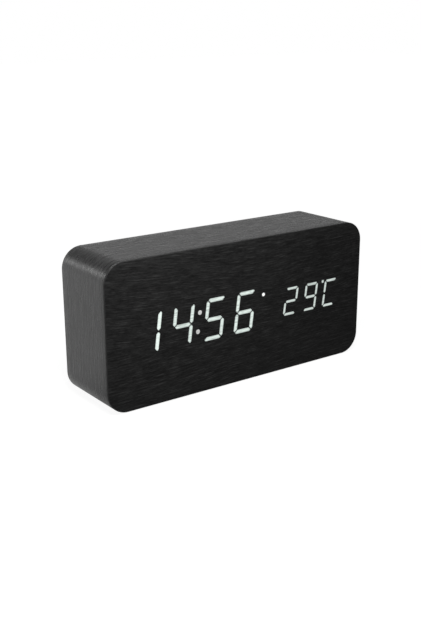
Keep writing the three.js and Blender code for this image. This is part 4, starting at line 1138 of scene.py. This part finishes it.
def contact(name, way, springs, dimples):
    """A plate with round wire springs and pressed dimples, facing the cells."""
    heights = [*springs, *dimples]
    face_x = BAY_X[0] + CONTACT_GAP if way > 0 else BAY_X[1] - CONTACT_GAP
    low, high = sorted((face_x - way * CONTACT_THICK, face_x))
    plate = block(
        "plate",
        (low, CELL_Y - CONTACT_HALF, min(heights) - CONTACT_HALF),
        (high, CELL_Y + CONTACT_HALF, max(heights) + CONTACT_HALF),
    )
    ease_edges(plate, CONTACT_ROUNDING)
    settle(plate)
    parts = [tube("spring", spring_points(face_x, way, z), SPRING_WIRE) for z in springs]
    parts += [turned("bump", BUMP_PROFILE, "x", (face_x, CELL_Y, z), way) for z in dimples]
    made = weld([plate, *parts], name)
    smooth_by_angle(made, 40)
    return lift(made)


top_z, middle_z, bottom_z = CELL_Z
for name, way, springs, dimples, node in (
    ("left_link", 1, [top_z], [middle_z], "battery_link_left"),
    ("minus_contact", 1, [bottom_z], [], "battery_contact_minus"),
    ("right_link", -1, [middle_z], [bottom_z], "battery_link_right"),
    ("plus_contact", -1, [], [top_z], "battery_contact_plus"),
):
    add_piece(contact(name, way, springs, dimples), "steel", node)

# Lit characters
GLOWS = {"hour_tens_light": GLOW_BRIGHT, "colon_light": GLOW_COLON, "alarm_dot_light": GLOW_ALARM}
for node, x, shapes in LIGHTS:
    small = node.startswith(("temperature", "degree", "celsius"))
    glow = GLOWS.get(node, GLOW_SMALL if small else GLOW_LARGE)
    add_piece(light_piece(node, x, shapes), "lit_diffuser", node, material=glow)


# Floor, world and lamps
FLOOR_HALF = 3000.0


def floor_material():
    """White to the camera and to glossy rays, and lit by the lamps so that it keeps the shadow."""
    nodes = Nodes(bpy.data.materials.new("floor"))
    rays = nodes.add("ShaderNodeLightPath").outputs
    place = nodes.add("ShaderNodeTexCoord").outputs["Object"]
    distance = nodes.add("ShaderNodeVectorMath", {0: place}, operation="LENGTH").outputs["Value"]
    depth = nodes.add("ShaderNodeSeparateXYZ", {0: place}).outputs[1]
    mirrored = nodes.math("MAXIMUM", rays["Is Glossy Ray"], rays["Is Transmission Ray"])
    mirrored = nodes.math("MULTIPLY", mirrored, nodes.remap(depth, -0.06, 0.04, 0.04, 1.0))
    base = nodes.remap(distance, 0.2, 0.6, 0.93, 1.0)
    direct = nodes.math("MULTIPLY", rays["Is Camera Ray"], base)
    near = nodes.remap(distance, 0.07, 0.35, 0.7, 1.0)
    return nodes.set(
        base_color=(0.17, 0.17, 0.17, 1),
        roughness=0.9,
        specular_ior_level=0.0,
        emission_color=(1, 1, 1, 1),
        emission_strength=nodes.math("MULTIPLY_ADD", mirrored, near, direct),
    )


floor = make_object(
    "floor",
    [(x * FLOOR_HALF, y * FLOOR_HALF, 0) for x, y in ((-1, -1), (1, -1), (1, 1), (-1, 1))],
    [(0, 1, 2, 3)],
    smooth=False,
)
dress(floor, floor_material())


def world_light():
    """White to the camera and in low reflections, softer from above and from the front."""
    world = bpy.data.worlds.new("studio")
    bpy.context.scene.world = world
    nodes = Nodes(world)
    direction = nodes.add("ShaderNodeTexCoord").outputs["Generated"]
    x, y, z = nodes.add("ShaderNodeSeparateXYZ", {0: direction}).outputs
    above = nodes.remap(x, -0.62, 0.42, 0.0, 0.335, "SMOOTHSTEP")
    height = nodes.math("MULTIPLY_ADD", x, 0.22, z)
    strength = nodes.remap(height, 0.18, 0.31, 1.0, above, "SMOOTHSTEP")
    front_fade = nodes.remap(y, -0.4, 0.4, 0.04, 1.0, "SMOOTHSTEP")
    light = nodes.math("MULTIPLY", strength, front_fade)
    to_camera = nodes.add("ShaderNodeLightPath").outputs["Is Camera Ray"]
    mix = nodes.add("ShaderNodeMix", {0: to_camera, 2: light, 3: 1.0})
    background = nodes.tree.nodes["Background"]
    nodes.put(background.inputs["Color"], (1, 1, 1, 1))
    nodes.put(background.inputs["Strength"], mix.outputs[0])


world_light()


def soft_lamp(name, place, target, size, power):
    """A rectangular lamp, in metres and watts, that faces its target."""
    lamp = bpy.data.lights.new(name, "AREA")
    lamp.shape = "RECTANGLE"
    lamp.size, lamp.size_y = size
    lamp.energy = power
    obj = add_object(name, lamp)
    obj.location = place
    obj.rotation_euler = (Vector(target) - Vector(place)).to_track_quat("-Z", "Y").to_euler()
    obj.visible_camera = False


soft_lamp("key_lamp", (-0.088, -0.138, 0.235), (0.01, 0, 0.05), (0.14, 0.14), 1.06)
soft_lamp("left_lamp", (-0.59, 0.79, 0.36), (0, 0, 0.05), (0.2, 0.22), 0.98)

# Camera at the photograph's viewpoint: pixels, millimetres of sensor, degrees and metres
IMAGE_HEIGHT, FOCAL_PIXELS, SENSOR = 631, 950.49, 36
AZIMUTH, ELEVATION, ROLL = -35.955, 17.544, -0.277
CAMERA_PLACE = (-0.264753, -0.357422, 0.168428 + FOOT_HEIGHT * MM)

lens = bpy.data.cameras.new("camera")
lens.lens = FOCAL_PIXELS / IMAGE_HEIGHT * SENSOR
lens.sensor_width = SENSOR
lens.shift_x, lens.shift_y = -0.5 / IMAGE_HEIGHT, 0.5 / IMAGE_HEIGHT
lens.clip_start, lens.clip_end = 0.01, 50
camera = add_object("camera", lens)
turns = ((AZIMUTH, "Z"), (90 - ELEVATION, "X"), (ROLL, "Z"))
round_z, down, tilt = (Matrix.Rotation(math.radians(a), 4, axis) for a, axis in turns)
camera.matrix_world = Matrix.Translation(CAMERA_PLACE) @ round_z @ down @ tilt
bpy.context.scene.camera = camera
bpy.context.scene.view_settings.view_transform = "Standard"

bpy.context.view_layer.update()
